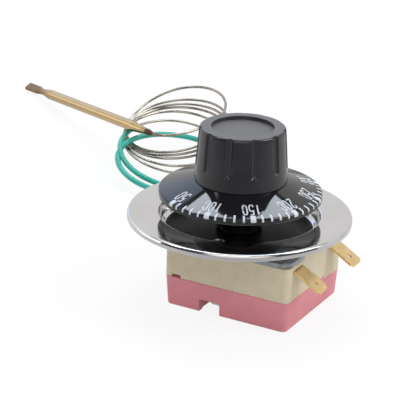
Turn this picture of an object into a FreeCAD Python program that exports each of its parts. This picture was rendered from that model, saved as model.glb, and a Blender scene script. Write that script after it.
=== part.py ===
import FreeCAD, Part
import math
import os

# Capillary thermostat with a printed control knob, a chromed bezel and a remote sensing bulb.
# Millimetres. The origin is on the spindle's axis, in the mounting face of the steel bracket.
# +Z points out of the panel towards the knob, +X to the tab terminals, and -Y is the long front side.

V = FreeCAD.Vector
UP = V(0, 0, 1)

# Housing of two ceramic mouldings
BODY_REAR_X = -15.8
BODY_LENGTH = 42.5
BODY_WIDTH = 37.5
BODY_CORNER_R = 1.8
UPPER_HEIGHT = 11.2
BASE_HEIGHT = 9.7
BASE_DRAFT = 0.55
BASE_EDGE_R = 0.5
WALL = 2.4
ROOF = 1.5
ROOF_HOLE_R = 9.8

# Bracket of zinc plated steel
BRACKET_T = 1.5
BRACKET_CORNER_R = 4.0
PANEL_SCREW_SPACING = 28.0
PANEL_SCREW_R = 1.65
COLLAR_R = 2.6
COLLAR_DEPTH = 1.5
STOP_LUG_R = 6.6
STOP_LUG_T = 1.5
STOP_LUG_WIDTH = 3.0
STOP_LUG_DEPTH = 2.3
STOP_LUG_ANGLE = 205.0
EDGE_NOTCH_Y = -6.0
EDGE_NOTCH_WIDTH = 4.2
EDGE_NOTCH_DEPTH = 1.8

# Bezel of chromed steel sheet
BEZEL_R = 35.0
BEZEL_T = 0.6
BEZEL_TOP_Z = 5.5
BEZEL_RIM_HEIGHT = 2.0
BEZEL_EDGE_R = 0.5
DISH_R = 25.0
DISH_FLOOR_R = 24.2
SHOULDER_R = 1.6
BEZEL_BORE_R = 6.2
BEZEL_SCREW_R = 2.25

# Dial skirt and grip of the knob
SKIRT_R = 25.4
SKIRT_BOTTOM_Z = 11.0
SKIRT_BAND = 1.7
SKIRT_BEVEL = 0.35
SKIRT_T = 1.6
SKIRT_TOP_R = 14.1
GRIP_BOTTOM_R = 14.6
GRIP_TOP_R = 13.3
GRIP_BOTTOM_Z = 16.7
GRIP_TOP_Z = 33.5
GRIP_WALL = 1.9
GRIP_EDGE_R = 0.8
RECESS_R = 9.7
RECESS_DEPTH = 1.2
GRIP_CEILING = 2.0
FLUTES = 11
FLUTE_R = 1.2
FLUTE_DEPTH = 0.75
FLUTE_BOTTOM_Z = 21.0
FLUTE_PHASE = -46.7
HUB_R = 5.5
HUB_BOTTOM_Z = 6.0
HUB_BORE_TOP_Z = 25.2
SLEEVE_WALL = 1.7
SLEEVE_BOTTOM_Z = 2.2
WEB_T = 1.2
WEB_BOTTOM_Z = 18.6
WEBS = 4

# Spindle, its bush, ring and stop washer
SHAFT_R = 3.0
SHAFT_TOP_Z = 24.6
FLAT_DEPTH = 1.4
FLAT_BOTTOM_Z = 9.0
BUSH_R = 4.5
BUSH_FLANGE_R = 5.6
BUSH_FLANGE_T = 0.6
BUSH_STAKE_R = 5.2
BUSH_STAKE_T = 0.3
BUSH_NOSE_R = 4.3
BUSH_NOSE_Z = 4.6
RUNNING = 0.05
NECK_R = 2.6
COLLAR_SHAFT_R = 3.9
COLLAR_SHAFT_T = 0.7
RING_T = 0.7
RING_R = 4.8
RING_SLIT = 3.6
WASHER_T = 0.8
WASHER_R = 5.0
STOP_SECTOR_R = 8.6
KNOB_TRAVEL = 236.0
STOP_CLEARANCE = 1.0
THREAD_R = 2.5
CLIP_T = 0.4
CLIP_WIDTH = 3.4
CLIP_BOTTOM_Z = 10.0
CLIP_TOP_Z = 22.0

# Setting nut and the ribs that keep it from turning
NUT_R = 4.2
NUT_HEIGHT = 3.6
NUT_TOP_Z = -4.4
NUT_EAR_REACH = 8.2
NUT_EAR_HALF = 1.5
NUT_EAR_HEIGHT = 2.4
RIB_GAP = 0.08
RIB_T = 1.4
RIB_REACH = 5.3
RIB_TOP_Z = -4.1
RIB_BOTTOM_Z = -8.5

# Snap contact
ARM_T = 0.4
ARM_WIDTH = 6.0
ARM_REACH = 10.2
ARM_Z = -9.2
PIVOT_X = 15.5
PIVOT_R = 0.6
BARREL_WALL = 0.4
CONTACT_X = -8.0
CONTACT_R = 1.5
CONTACT_HEIGHT = 1.0
CONTACT_GAP = 0.1
CONTACT_HEAD = 0.35
POST_T = 1.0
POST_PLATE = 0.8
POST_LENGTH = 4.2
POST_TOP_Z = -8.0
PIN_R = 1.5
PIN_GAP = 0.3

# Tab terminals of brass sheet
TERMINAL_T = 0.8
TERMINAL_WIDTH = 6.3
TERMINAL_Y = 12.1
TERMINAL_Z = -3.2
TERMINAL_LEG_X = 21.6
TERMINAL_STRAIGHT = 0.7
TERMINAL_BLADE = 9.6
TERMINAL_BEND = 30.7
TERMINAL_TIP_CHAMFER = 1.1
TERMINAL_HOLE_R = 0.825
TERMINAL_HOLE_FROM_TIP = 3.6
SLOT_GAP = 0.15
FOOT_WIDTH = 2.8
FRONT_FOOT_X = -10.6
REAR_FOOT_X = 13.2
TERMINAL_SCREW_X = 16.0
TERMINAL_SCREW_R = 1.2
TERMINAL_SCREW_HEAD_R = 2.1
TERMINAL_SCREW_HEAD = 1.4
TERMINAL_SCREW_LENGTH = 5.5

# Pressure capsule below the base, its strap and screws
CAPSULE_R = 9.5
CAPSULE_RIM = 0.5
CAPSULE_HEIGHT = 2.3
CAPSULE_BOSS_R = 2.4
CAPSULE_BOSS = 0.25
CAPSULE_GAP = 0.6
PIN_SEAT_GAP = 0.05
RECESS_DEEP = 4.1
RECESS_GAP = 1.5
STRAP_T = 0.8
STRAP_HALF = 2.6
STRAP_HALF_LENGTH = 15.2
STRAP_STEP_Y = 10.8
STRAP_CHANNEL_HALF = 4.0
STRAP_CHANNEL_END = 15.7
STRAP_SCREW_Y = 13.6
STRAP_SCREW_R = 1.25
STRAP_SCREW_HEAD_R = 1.95
STRAP_SCREW_HEAD = 1.7
STRAP_SCREW_LENGTH = 4.2
CALIBRATION_R = 1.5
NOTCH_WIDTH = 7.0
OUTLET_X = -6.0
OUTLET_WIDTH = 6.0

# Screws that hold the stack together
HOUSING_SCREW_R = 1.25
HOUSING_SCREW_HEAD_R = 2.2
HOUSING_SCREW_HEAD = 1.8
HOUSING_SCREW_SINK = 0.5
HOUSING_SCREW_TIP = 0.1
HOUSING_SCREW_CLEAR = 0.2
BOSS_R = 2.6
HOUSING_SCREWS = ((-11.8, 14.6), (-11.8, -14.6), (23.3, 0.0))

# Joint between the mouldings, as seen at the front left corner and on the terminal end
CORNER_SLOT_X = -13.2
CORNER_SLOT_WIDTH = 3.1
CORNER_SLOT_HEIGHT = 1.0
CORNER_SLOT_DEPTH = 1.6
LIP_Y = 7.2
LIP_DEPTH = 1.2
LIP_T = 1.8

# Capillary, its sleeve, coils and bulb
CAPILLARY_R = 0.5
SLEEVE_R = 1.0
SLEEVE_BORE_GAP = 0.05
STUB_R = 1.1
STUB_LENGTH = 1.0
SLEEVE_START_Y = 16.5
VIEW_ANGLE = 28.4
SLEEVE_COIL_R = 21.0
SLEEVE_COIL_AT = (-22.3, 102.0, -17.3)
SLEEVE_COIL_THICK = 1.3
SLEEVE_COIL_TILT = 9.0
SLEEVE_COIL_ROLL = -4.0
COIL_R = 19.7
COIL_THICK = 0.8
COIL_RINGS = 3
COIL_LOW = (-22.3, 114.5, -16.7, 12.0, -6.5)
COIL_HIGH = (-22.3, 126.0, -7.4, 13.5, 18.0)
BULB_TAIL = V(-170.6, 135.9, -21.0)
BULB_NOSE = V(-75.9, 76.3, -6.1)
BULB_R = 2.0
TAIL_LENGTH = 12.0
TAIL_HALF = 1.85
TAIL_T = 1.5
WAIST_R = 1.25
WAIST_LENGTH = 4.0
SHOULDER_LENGTH = 6.0
CONE_LENGTH = 11.0
CONE_END_R = 1.1
FERRULE_LENGTH = 4.0
FERRULE_R = 0.95
FERRULE_SEAT = 2.0

# Heights that follow from the sizes above
UPPER_TOP_Z = -BRACKET_T
JOINT_Z = UPPER_TOP_Z - UPPER_HEIGHT
BASE_Z = JOINT_Z - BASE_HEIGHT
ROOF_Z = UPPER_TOP_Z - ROOF
RECESS_Z = BASE_Z + RECESS_DEEP
BODY_FRONT_X = BODY_REAR_X + BODY_LENGTH
HALF_WIDTH = BODY_WIDTH / 2
INNER_HALF_WIDTH = HALF_WIDTH - WALL
FOOT_TOP_Z = JOINT_Z + TERMINAL_T
ARM_BOTTOM_Z = ARM_Z - ARM_T / 2
BUSH_BOTTOM_Z = UPPER_TOP_Z - BUSH_STAKE_T
COLLAR_TOP_Z = BUSH_BOTTOM_Z - 2 * RUNNING
WASHER_TOP_Z = COLLAR_TOP_Z - COLLAR_SHAFT_T
WASHER_BOTTOM_Z = WASHER_TOP_Z - WASHER_T
RING_BOTTOM_Z = BUSH_NOSE_Z + 2 * RUNNING
CAPSULE_TOP_Z = RECESS_Z - CAPSULE_GAP
CAPSULE_BOTTOM_Z = CAPSULE_TOP_Z - CAPSULE_HEIGHT
CAPSULE_MID_Z = (CAPSULE_TOP_Z + CAPSULE_BOTTOM_Z) / 2
STRAP_Z = CAPSULE_BOTTOM_Z - CAPSULE_BOSS - STRAP_T


def box(x0, x1, y0, y1, z0, z1):
    return Part.makeBox(x1 - x0, y1 - y0, z1 - z0, V(x0, y0, z0))


def rod(radius, z0, z1, x=0.0, y=0.0):
    return Part.makeCylinder(radius, z1 - z0, V(x, y, z0))


def polar(radius, degrees, z=0.0):
    turn = math.radians(degrees)
    return V(radius * math.cos(turn), radius * math.sin(turn), z)


def rounded_outline(x0, x1, y0, y1, radius, z):
    """A closed rectangle with round corners, at one height."""
    s = radius * math.sqrt(0.5)
    corners = (
        (x1 - radius, y0 + radius, 0, -1, 1, 0),
        (x1 - radius, y1 - radius, 1, 0, 0, 1),
        (x0 + radius, y1 - radius, 0, 1, -1, 0),
        (x0 + radius, y0 + radius, -1, 0, 0, -1),
    )
    edges = []
    ends = []
    for cx, cy, ax, ay, bx, by in corners:
        a = V(cx + radius * ax, cy + radius * ay, z)
        b = V(cx + radius * bx, cy + radius * by, z)
        m = V(cx + s * (ax + bx), cy + s * (ay + by), z)
        ends.append((a, b))
        edges.append(Part.Arc(a, m, b).toShape())
    for i in range(4):
        edges.append(Part.LineSegment(ends[i][1], ends[(i + 1) % 4][0]).toShape())
    return Part.Wire(Part.__sortEdges__(edges))


def rounded_block(x0, x1, y0, y1, z0, z1, radius):
    return Part.Face(rounded_outline(x0, x1, y0, y1, radius, z0)).extrude(V(0, 0, z1 - z0))


def turned(points):
    """A solid of revolution about Z from a closed list of (radius, height) corners."""
    corners = [V(r, 0, z) for r, z in points]
    return Part.Face(Part.makePolygon(corners + corners[:1])).revolve(V(0, 0, 0), UP, 360)


def along_y(points, y0, y1):
    """A solid from a closed list of (x, z) corners, drawn out along Y."""
    corners = [V(x, y0, z) for x, z in points]
    return Part.Face(Part.makePolygon(corners + corners[:1])).extrude(V(0, y1 - y0, 0))


def edges_at(shape, test):
    return [e for e in shape.Edges if test(e)]


def circle_at(edge, radius, z):
    """True for a full circle of this radius at this height."""
    curve = edge.Curve
    if not isinstance(curve, Part.Circle):
        return False
    return abs(curve.Radius - radius) < 1e-4 and abs(curve.Center.z - z) < 1e-4


def save(name, shape):
    shape.exportStep("parts/" + name + ".step")
    print(name, len(shape.Solids), round(shape.Volume, 2), shape.isValid())


def make_bracket():
    plate = rounded_block(
        BODY_REAR_X, BODY_FRONT_X, -HALF_WIDTH, HALF_WIDTH, UPPER_TOP_Z, 0, BRACKET_CORNER_R
    )
    notch = box(
        BODY_FRONT_X - EDGE_NOTCH_DEPTH,
        BODY_FRONT_X + 1,
        EDGE_NOTCH_Y - EDGE_NOTCH_WIDTH / 2,
        EDGE_NOTCH_Y + EDGE_NOTCH_WIDTH / 2,
        UPPER_TOP_Z - 1,
        1,
    )
    plate = plate.cut(notch)
    lug = box(
        STOP_LUG_R,
        STOP_LUG_R + STOP_LUG_T,
        -STOP_LUG_WIDTH / 2,
        STOP_LUG_WIDTH / 2,
        UPPER_TOP_Z - STOP_LUG_DEPTH,
        UPPER_TOP_Z,
    )
    lug.rotate(V(0, 0, 0), UP, STOP_LUG_ANGLE)
    window = box(
        STOP_LUG_R + STOP_LUG_T,
        STOP_LUG_R + STOP_LUG_T + STOP_LUG_DEPTH,
        -STOP_LUG_WIDTH / 2,
        STOP_LUG_WIDTH / 2,
        UPPER_TOP_Z - 1,
        1,
    )
    window.rotate(V(0, 0, 0), UP, STOP_LUG_ANGLE)
    plate = plate.cut(window).fuse(lug)
    for side in (-1, 1):
        y = side * PANEL_SCREW_SPACING / 2
        plate = plate.fuse(rod(COLLAR_R, UPPER_TOP_Z - COLLAR_DEPTH, UPPER_TOP_Z, 0, y))
        plate = plate.cut(rod(PANEL_SCREW_R, UPPER_TOP_Z - COLLAR_DEPTH - 1, 1, 0, y))
    plate = plate.cut(rod(BUSH_R, UPPER_TOP_Z - 1, 1))
    for x, y in HOUSING_SCREWS:
        plate = plate.cut(rod(HOUSING_SCREW_R, UPPER_TOP_Z - 1, 1, x, y))
    return plate.removeSplitter()


def make_bezel():
    """Dished ring: flat floor on the bracket, raised mirror band, turned down rim."""
    t = BEZEL_T
    top = BEZEL_TOP_Z
    bend = SHOULDER_R
    half = math.sqrt(0.5)
    outer = BEZEL_R - t
    edge = BEZEL_EDGE_R
    flat_r = DISH_R + bend

    def p(r, z):
        return V(r, 0, z)

    floor_bend = 1.0
    floor_end = DISH_FLOOR_R - floor_bend
    upper_bend = p(flat_r - bend * half, top - bend + bend * half)
    lower_bend = p(flat_r - (bend - t) * half, top - bend + (bend - t) * half)
    edges = [
        Part.LineSegment(p(BEZEL_BORE_R, 0), p(BEZEL_BORE_R, t)),
        Part.LineSegment(p(BEZEL_BORE_R, t), p(floor_end, t)),
        Part.LineSegment(p(floor_end, t), p(DISH_FLOOR_R, t + floor_bend)),
        Part.LineSegment(p(DISH_FLOOR_R, t + floor_bend), p(DISH_R, top - bend)),
        Part.Arc(p(DISH_R, top - bend), upper_bend, p(flat_r, top)),
        Part.LineSegment(p(flat_r, top), p(BEZEL_R - edge, top)),
        Part.Arc(
            p(BEZEL_R - edge, top),
            p(BEZEL_R - edge + edge * half, top - edge + edge * half),
            p(BEZEL_R, top - edge),
        ),
        Part.LineSegment(p(BEZEL_R, top - edge), p(BEZEL_R, top - BEZEL_RIM_HEIGHT)),
        Part.LineSegment(p(BEZEL_R, top - BEZEL_RIM_HEIGHT), p(outer, top - BEZEL_RIM_HEIGHT)),
        Part.LineSegment(p(outer, top - BEZEL_RIM_HEIGHT), p(outer, top - t)),
        Part.LineSegment(p(outer, top - t), p(flat_r, top - t)),
        Part.Arc(p(flat_r, top - t), lower_bend, p(DISH_R + t, top - bend)),
        Part.LineSegment(p(DISH_R + t, top - bend), p(DISH_FLOOR_R + t, floor_bend)),
        Part.LineSegment(p(DISH_FLOOR_R + t, floor_bend), p(floor_end + t * half, 0)),
        Part.LineSegment(p(floor_end + t * half, 0), p(BEZEL_BORE_R, 0)),
    ]
    wire = Part.Wire([e.toShape() for e in edges])
    ring = Part.Face(wire).revolve(V(0, 0, 0), UP, 360)
    for side in (-1, 1):
        ring = ring.cut(rod(BEZEL_SCREW_R, -1, t + 1, 0, side * PANEL_SCREW_SPACING / 2))
    return ring


def make_bush():
    bore = SHAFT_R + RUNNING
    return turned(
        (
            (bore, BUSH_BOTTOM_Z),
            (BUSH_STAKE_R, BUSH_BOTTOM_Z),
            (BUSH_STAKE_R, UPPER_TOP_Z),
            (BUSH_R, UPPER_TOP_Z),
            (BUSH_R, 0),
            (BUSH_FLANGE_R, 0),
            (BUSH_FLANGE_R, BUSH_FLANGE_T),
            (BUSH_NOSE_R, BUSH_FLANGE_T),
            (BUSH_NOSE_R, BUSH_NOSE_Z),
            (bore, BUSH_NOSE_Z),
        )
    )


def make_spindle():
    """Turned spindle: flatted end for the knob, grooved neck, collar, and a thread for the nut."""
    shaft = turned(
        (
            (0, SHAFT_TOP_Z),
            (SHAFT_R - 0.4, SHAFT_TOP_Z),
            (SHAFT_R, SHAFT_TOP_Z - 0.4),
            (SHAFT_R, RING_BOTTOM_Z + RING_T),
            (NECK_R, RING_BOTTOM_Z + RING_T),
            (NECK_R, RING_BOTTOM_Z),
            (SHAFT_R, RING_BOTTOM_Z),
            (SHAFT_R, COLLAR_TOP_Z),
            (COLLAR_SHAFT_R, COLLAR_TOP_Z),
            (COLLAR_SHAFT_R, WASHER_TOP_Z),
            (NECK_R, WASHER_TOP_Z),
            (NECK_R, WASHER_BOTTOM_Z),
            (THREAD_R, WASHER_BOTTOM_Z),
            (THREAD_R, NUT_TOP_Z - NUT_HEIGHT + 0.4),
            (0, NUT_TOP_Z - NUT_HEIGHT + 0.4),
        )
    )
    flat_x = SHAFT_R - FLAT_DEPTH
    return shaft.cut(box(flat_x, SHAFT_R + 1, -SHAFT_R, SHAFT_R, FLAT_BOTTOM_Z, SHAFT_TOP_Z + 1))


def make_retaining_ring():
    ring = rod(RING_R, RING_BOTTOM_Z, RING_BOTTOM_Z + RING_T)
    ring = ring.cut(rod(NECK_R, RING_BOTTOM_Z - 1, RING_BOTTOM_Z + RING_T + 1))
    half = RING_SLIT / 2
    return ring.cut(box(0, RING_R + 1, -half, half, RING_BOTTOM_Z - 1, RING_BOTTOM_Z + RING_T + 1))


def stop_sector_angles():
    """Where the washer's wide sector starts and how wide it is, from the knob's travel."""
    lug_half = math.degrees(math.atan2(STOP_LUG_WIDTH / 2, STOP_LUG_R))
    width = 360 - KNOB_TRAVEL - 2 * lug_half - 2 * STOP_CLEARANCE
    return STOP_LUG_ANGLE - lug_half - STOP_CLEARANCE - width, width


def make_stop_washer():
    start, width = stop_sector_angles()
    sector = Part.makeCylinder(STOP_SECTOR_R, WASHER_T, V(0, 0, WASHER_BOTTOM_Z), UP, width)
    sector.rotate(V(0, 0, 0), UP, start)
    washer = rod(WASHER_R, WASHER_BOTTOM_Z, WASHER_TOP_Z).fuse(sector)
    return washer.cut(rod(NECK_R, WASHER_BOTTOM_Z - 1, WASHER_TOP_Z + 1)).removeSplitter()


def make_setting_nut():
    bottom = NUT_TOP_Z - NUT_HEIGHT
    hexagon = [polar(NUT_R, 60 * i, bottom) for i in range(6)]
    nut = Part.Face(Part.makePolygon(hexagon + hexagon[:1])).extrude(V(0, 0, NUT_HEIGHT))
    middle = bottom + NUT_HEIGHT / 2
    ears = box(
        -NUT_EAR_HALF,
        NUT_EAR_HALF,
        -NUT_EAR_REACH,
        NUT_EAR_REACH,
        middle - NUT_EAR_HEIGHT / 2,
        middle + NUT_EAR_HEIGHT / 2,
    )
    nut = nut.fuse(ears)
    return nut.cut(rod(THREAD_R + RUNNING, bottom - 1, NUT_TOP_Z + 1)).removeSplitter()


def make_upper_housing():
    """Open topped and open bottomed moulding with a roof, screw bosses and guide ribs."""
    outer = rounded_block(
        BODY_REAR_X, BODY_FRONT_X, -HALF_WIDTH, HALF_WIDTH, JOINT_Z, UPPER_TOP_Z, BODY_CORNER_R
    )
    inner = rounded_block(
        BODY_REAR_X + WALL,
        BODY_FRONT_X - WALL,
        -INNER_HALF_WIDTH,
        INNER_HALF_WIDTH,
        JOINT_Z - 1,
        ROOF_Z,
        1.0,
    )
    shell = outer.cut(inner)
    for x, y in HOUSING_SCREWS:
        shell = shell.fuse(rod(BOSS_R, JOINT_Z, ROOF_Z, x, y).common(outer))
    for side in (-1, 1):
        for across in (-1, 1):
            a = across * (NUT_EAR_HALF + RIB_GAP)
            b = across * (NUT_EAR_HALF + RIB_GAP + RIB_T)
            y0 = side * RIB_REACH
            y1 = side * (INNER_HALF_WIDTH + 0.5)
            rib = box(min(a, b), max(a, b), min(y0, y1), max(y0, y1), RIB_BOTTOM_Z, RIB_TOP_Z)
            shell = shell.fuse(rib)
    shell = shell.cut(rod(ROOF_HOLE_R, ROOF_Z - 1, UPPER_TOP_Z + 1))
    for side in (-1, 1):
        y = side * PANEL_SCREW_SPACING / 2
        shell = shell.cut(rod(COLLAR_R + 0.3, ROOF_Z - 1, UPPER_TOP_Z + 1, 0, y))
    for x, y in HOUSING_SCREWS:
        hole = HOUSING_SCREW_R + HOUSING_SCREW_CLEAR
        shell = shell.cut(rod(hole, JOINT_Z - 1, UPPER_TOP_Z + 1, x, y))
    for side in (-1, 1):
        half = TERMINAL_WIDTH / 2 + SLOT_GAP
        y = side * TERMINAL_Y
        slot = box(
            BODY_FRONT_X - WALL - 1,
            BODY_FRONT_X + 1,
            y - half,
            y + half,
            TERMINAL_Z - TERMINAL_T - SLOT_GAP,
            TERMINAL_Z + SLOT_GAP,
        )
        shell = shell.cut(slot)
    slot_gap = box(
        CORNER_SLOT_X,
        CORNER_SLOT_X + CORNER_SLOT_WIDTH,
        -HALF_WIDTH - 1,
        -HALF_WIDTH + CORNER_SLOT_DEPTH,
        JOINT_Z - 1,
        JOINT_Z + CORNER_SLOT_HEIGHT,
    )
    shell = shell.cut(slot_gap)
    lip = box(
        BODY_FRONT_X - LIP_T,
        BODY_FRONT_X,
        LIP_Y,
        HALF_WIDTH,
        JOINT_Z - LIP_DEPTH,
        JOINT_Z,
    ).common(
        rounded_block(
            BODY_REAR_X,
            BODY_FRONT_X,
            -HALF_WIDTH,
            HALF_WIDTH,
            JOINT_Z - LIP_DEPTH,
            JOINT_Z,
            BODY_CORNER_R,
        )
    )
    boss = box(
        BODY_FRONT_X - EDGE_NOTCH_DEPTH + 0.1,
        BODY_FRONT_X,
        EDGE_NOTCH_Y - EDGE_NOTCH_WIDTH / 2 + 0.1,
        EDGE_NOTCH_Y + EDGE_NOTCH_WIDTH / 2 - 0.1,
        UPPER_TOP_Z,
        -0.1,
    )
    return shell.fuse(lip).fuse(boss).removeSplitter()


def make_lower_base():
    """Pressed ceramic base with draft, an open recess for the capsule and two wall notches."""
    bottom = rounded_outline(
        BODY_REAR_X + BASE_DRAFT,
        BODY_FRONT_X - BASE_DRAFT,
        -HALF_WIDTH + BASE_DRAFT,
        HALF_WIDTH - BASE_DRAFT,
        BODY_CORNER_R,
        BASE_Z,
    )
    top = rounded_outline(
        BODY_REAR_X, BODY_FRONT_X, -HALF_WIDTH, HALF_WIDTH, BODY_CORNER_R, JOINT_Z
    )
    block = Part.makeLoft([bottom, top], True, True)
    rim = edges_at(block, lambda e: all(abs(v.Point.z - BASE_Z) < 1e-6 for v in e.Vertexes))
    block = block.makeFillet(BASE_EDGE_R, rim)
    low = BASE_Z - 1
    block = block.cut(rod(CAPSULE_R + RECESS_GAP, low, RECESS_Z))
    channel = STRAP_CHANNEL_HALF
    end = STRAP_CHANNEL_END
    block = block.cut(box(-channel, channel, -end, end, low, RECESS_Z))
    notch = NOTCH_WIDTH / 2
    block = block.cut(box(-notch, notch, -HALF_WIDTH - 1, 0, low, RECESS_Z))
    outlet = OUTLET_WIDTH / 2
    block = block.cut(
        box(OUTLET_X - outlet, OUTLET_X + outlet, CAPSULE_R - 2, HALF_WIDTH + 1, low, RECESS_Z)
    )
    block = block.cut(rod(PIN_R + RUNNING, low, JOINT_Z + 1))
    for side in (-1, 1):
        y = side * STRAP_SCREW_Y
        deep = RECESS_Z + STRAP_SCREW_LENGTH + 0.3
        block = block.cut(rod(STRAP_SCREW_R + 0.02, low, deep, 0, y))
        screw_low = FOOT_TOP_Z - TERMINAL_SCREW_LENGTH - 0.3
        y = side * TERMINAL_Y
        block = block.cut(
            rod(TERMINAL_SCREW_R + 0.02, screw_low, JOINT_Z + 1, TERMINAL_SCREW_X, y)
        )
    head_top = BASE_Z + HOUSING_SCREW_SINK + HOUSING_SCREW_HEAD
    for x, y in HOUSING_SCREWS:
        block = block.cut(rod(HOUSING_SCREW_R + HOUSING_SCREW_CLEAR, low, JOINT_Z + 1, x, y))
        block = block.cut(rod(HOUSING_SCREW_HEAD_R + HOUSING_SCREW_CLEAR, low, head_top, x, y))
    lip_room = box(
        BODY_FRONT_X - LIP_T - 0.1,
        BODY_FRONT_X + 1,
        LIP_Y - 0.1,
        HALF_WIDTH + 1,
        JOINT_Z - LIP_DEPTH,
        JOINT_Z + 1,
    )
    return block.cut(lip_room).removeSplitter()


def make_housing_screws():
    screws = []
    for x, y in HOUSING_SCREWS:
        low = BASE_Z + HOUSING_SCREW_SINK
        head = rod(HOUSING_SCREW_HEAD_R, low, low + HOUSING_SCREW_HEAD, x, y)
        shank = rod(HOUSING_SCREW_R - 0.02, low, -HOUSING_SCREW_TIP, x, y)
        slot = box(x - 0.35, x + 0.35, y - 3, y + 3, low - 1, low + 0.8)
        screws.append(head.fuse(shank).cut(slot))
    return Part.makeCompound(screws)


def blade(y):
    """Bent tab with a chamfered tip and a locking hole, in one piece with its leg."""
    out = BODY_FRONT_X + TERMINAL_STRAIGHT
    slope = math.radians(TERMINAL_BEND)
    c = math.cos(slope)
    s = math.sin(slope)
    t = TERMINAL_T
    z = TERMINAL_Z
    miter = t * math.tan(slope / 2)
    tip_x = out + TERMINAL_BLADE * c
    tip_z = z - TERMINAL_BLADE * s
    leg = TERMINAL_LEG_X
    side = (
        (leg, z),
        (out, z),
        (tip_x, tip_z),
        (tip_x - t * s, tip_z - t * c),
        (out - miter, z - t),
        (leg + t, z - t),
        (leg + t, JOINT_Z),
        (leg, JOINT_Z),
    )
    half = TERMINAL_WIDTH / 2
    tab = along_y(side, y - half, y + half)
    cut = TERMINAL_TIP_CHAMFER
    for edge in (-1, 1):
        corner = V(TERMINAL_BLADE, edge * half, 0)
        wedge = Part.makePolygon(
            [
                corner + V(0.5, edge * 0.5, -2),
                corner + V(-cut - 0.5, edge * 0.5, -2),
                corner + V(0.5, -edge * (cut + 0.5), -2),
                corner + V(0.5, edge * 0.5, -2),
            ]
        )
        wedge = Part.Face(wedge).extrude(V(0, 0, 4))
        wedge.rotate(V(0, 0, 0), V(0, 1, 0), TERMINAL_BEND)
        wedge.translate(V(out, y, z))
        tab = tab.cut(wedge)
    hole = Part.makeCylinder(
        TERMINAL_HOLE_R, 6, V(TERMINAL_BLADE - TERMINAL_HOLE_FROM_TIP, 0, -3)
    )
    hole.rotate(V(0, 0, 0), V(0, 1, 0), TERMINAL_BEND)
    hole.translate(V(out, y, z))
    return tab.cut(hole)


def make_terminal(side):
    """side -1 carries the fixed contact, side 1 the post of the contact arm."""
    y = side * TERMINAL_Y
    half = TERMINAL_WIDTH / 2
    tab = blade(y)
    inner = y - side * half
    if side < 0:
        foot = box(FRONT_FOOT_X, TERMINAL_LEG_X, inner - FOOT_WIDTH, inner, JOINT_Z, FOOT_TOP_Z)
        arm_end = CONTACT_X + CONTACT_R + 1.0
        foot = foot.fuse(
            box(FRONT_FOOT_X, arm_end, inner - FOOT_WIDTH, CONTACT_R + 0.5, JOINT_Z, FOOT_TOP_Z)
        )
        foot = foot.fuse(
            box(
                TERMINAL_SCREW_X - 3,
                TERMINAL_LEG_X + TERMINAL_T,
                y - half,
                y + half,
                JOINT_Z,
                FOOT_TOP_Z,
            )
        )
        foot = foot.cut(rod(CONTACT_R / 2, JOINT_Z - 1, FOOT_TOP_Z + 1, CONTACT_X, 0))
    else:
        post_half = ARM_WIDTH / 2 + POST_T + 0.2
        foot = box(
            REAR_FOOT_X, REAR_FOOT_X + POST_LENGTH + 0.6, -post_half, y, JOINT_Z, FOOT_TOP_Z
        )
        foot = foot.fuse(
            box(
                REAR_FOOT_X,
                TERMINAL_LEG_X + TERMINAL_T,
                y - half,
                y + half,
                JOINT_Z,
                FOOT_TOP_Z,
            )
        )
    tab = tab.fuse(foot)
    return tab.cut(
        rod(TERMINAL_SCREW_R + 0.02, JOINT_Z - 1, FOOT_TOP_Z + 1, TERMINAL_SCREW_X, y)
    ).removeSplitter()


def make_terminal_screws():
    screws = []
    for side in (-1, 1):
        x = TERMINAL_SCREW_X
        y = side * TERMINAL_Y
        head = rod(TERMINAL_SCREW_HEAD_R, FOOT_TOP_Z, FOOT_TOP_Z + TERMINAL_SCREW_HEAD, x, y)
        shank = rod(TERMINAL_SCREW_R, FOOT_TOP_Z - TERMINAL_SCREW_LENGTH, FOOT_TOP_Z, x, y)
        top = FOOT_TOP_Z + TERMINAL_SCREW_HEAD
        slot = box(x - 3, x + 3, y - 0.3, y + 0.3, top - 0.7, top + 1)
        screws.append(head.fuse(shank).cut(slot))
    return Part.makeCompound(screws)


def make_contact_post():
    """U shaped post with two ears that hold the pivot pin of the arm."""
    x0 = REAR_FOOT_X + 0.3
    x1 = x0 + POST_LENGTH
    half = ARM_WIDTH / 2 + 0.2
    post = box(x0, x1, -half - POST_T, half + POST_T, FOOT_TOP_Z, FOOT_TOP_Z + POST_PLATE)
    for side in (-1, 1):
        y0 = side * half
        y1 = side * (half + POST_T)
        post = post.fuse(box(x0, x1, min(y0, y1), max(y0, y1), FOOT_TOP_Z, POST_TOP_Z))
    hole = Part.makeCylinder(PIVOT_R, 4 * half, V(PIVOT_X, -2 * half, ARM_Z), V(0, 1, 0))
    return post.cut(hole).removeSplitter()


def make_pivot_pin():
    half = ARM_WIDTH / 2 + 0.2 + POST_T
    return Part.makeCylinder(PIVOT_R, 2 * half, V(PIVOT_X, -half, ARM_Z), V(0, 1, 0))


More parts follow.
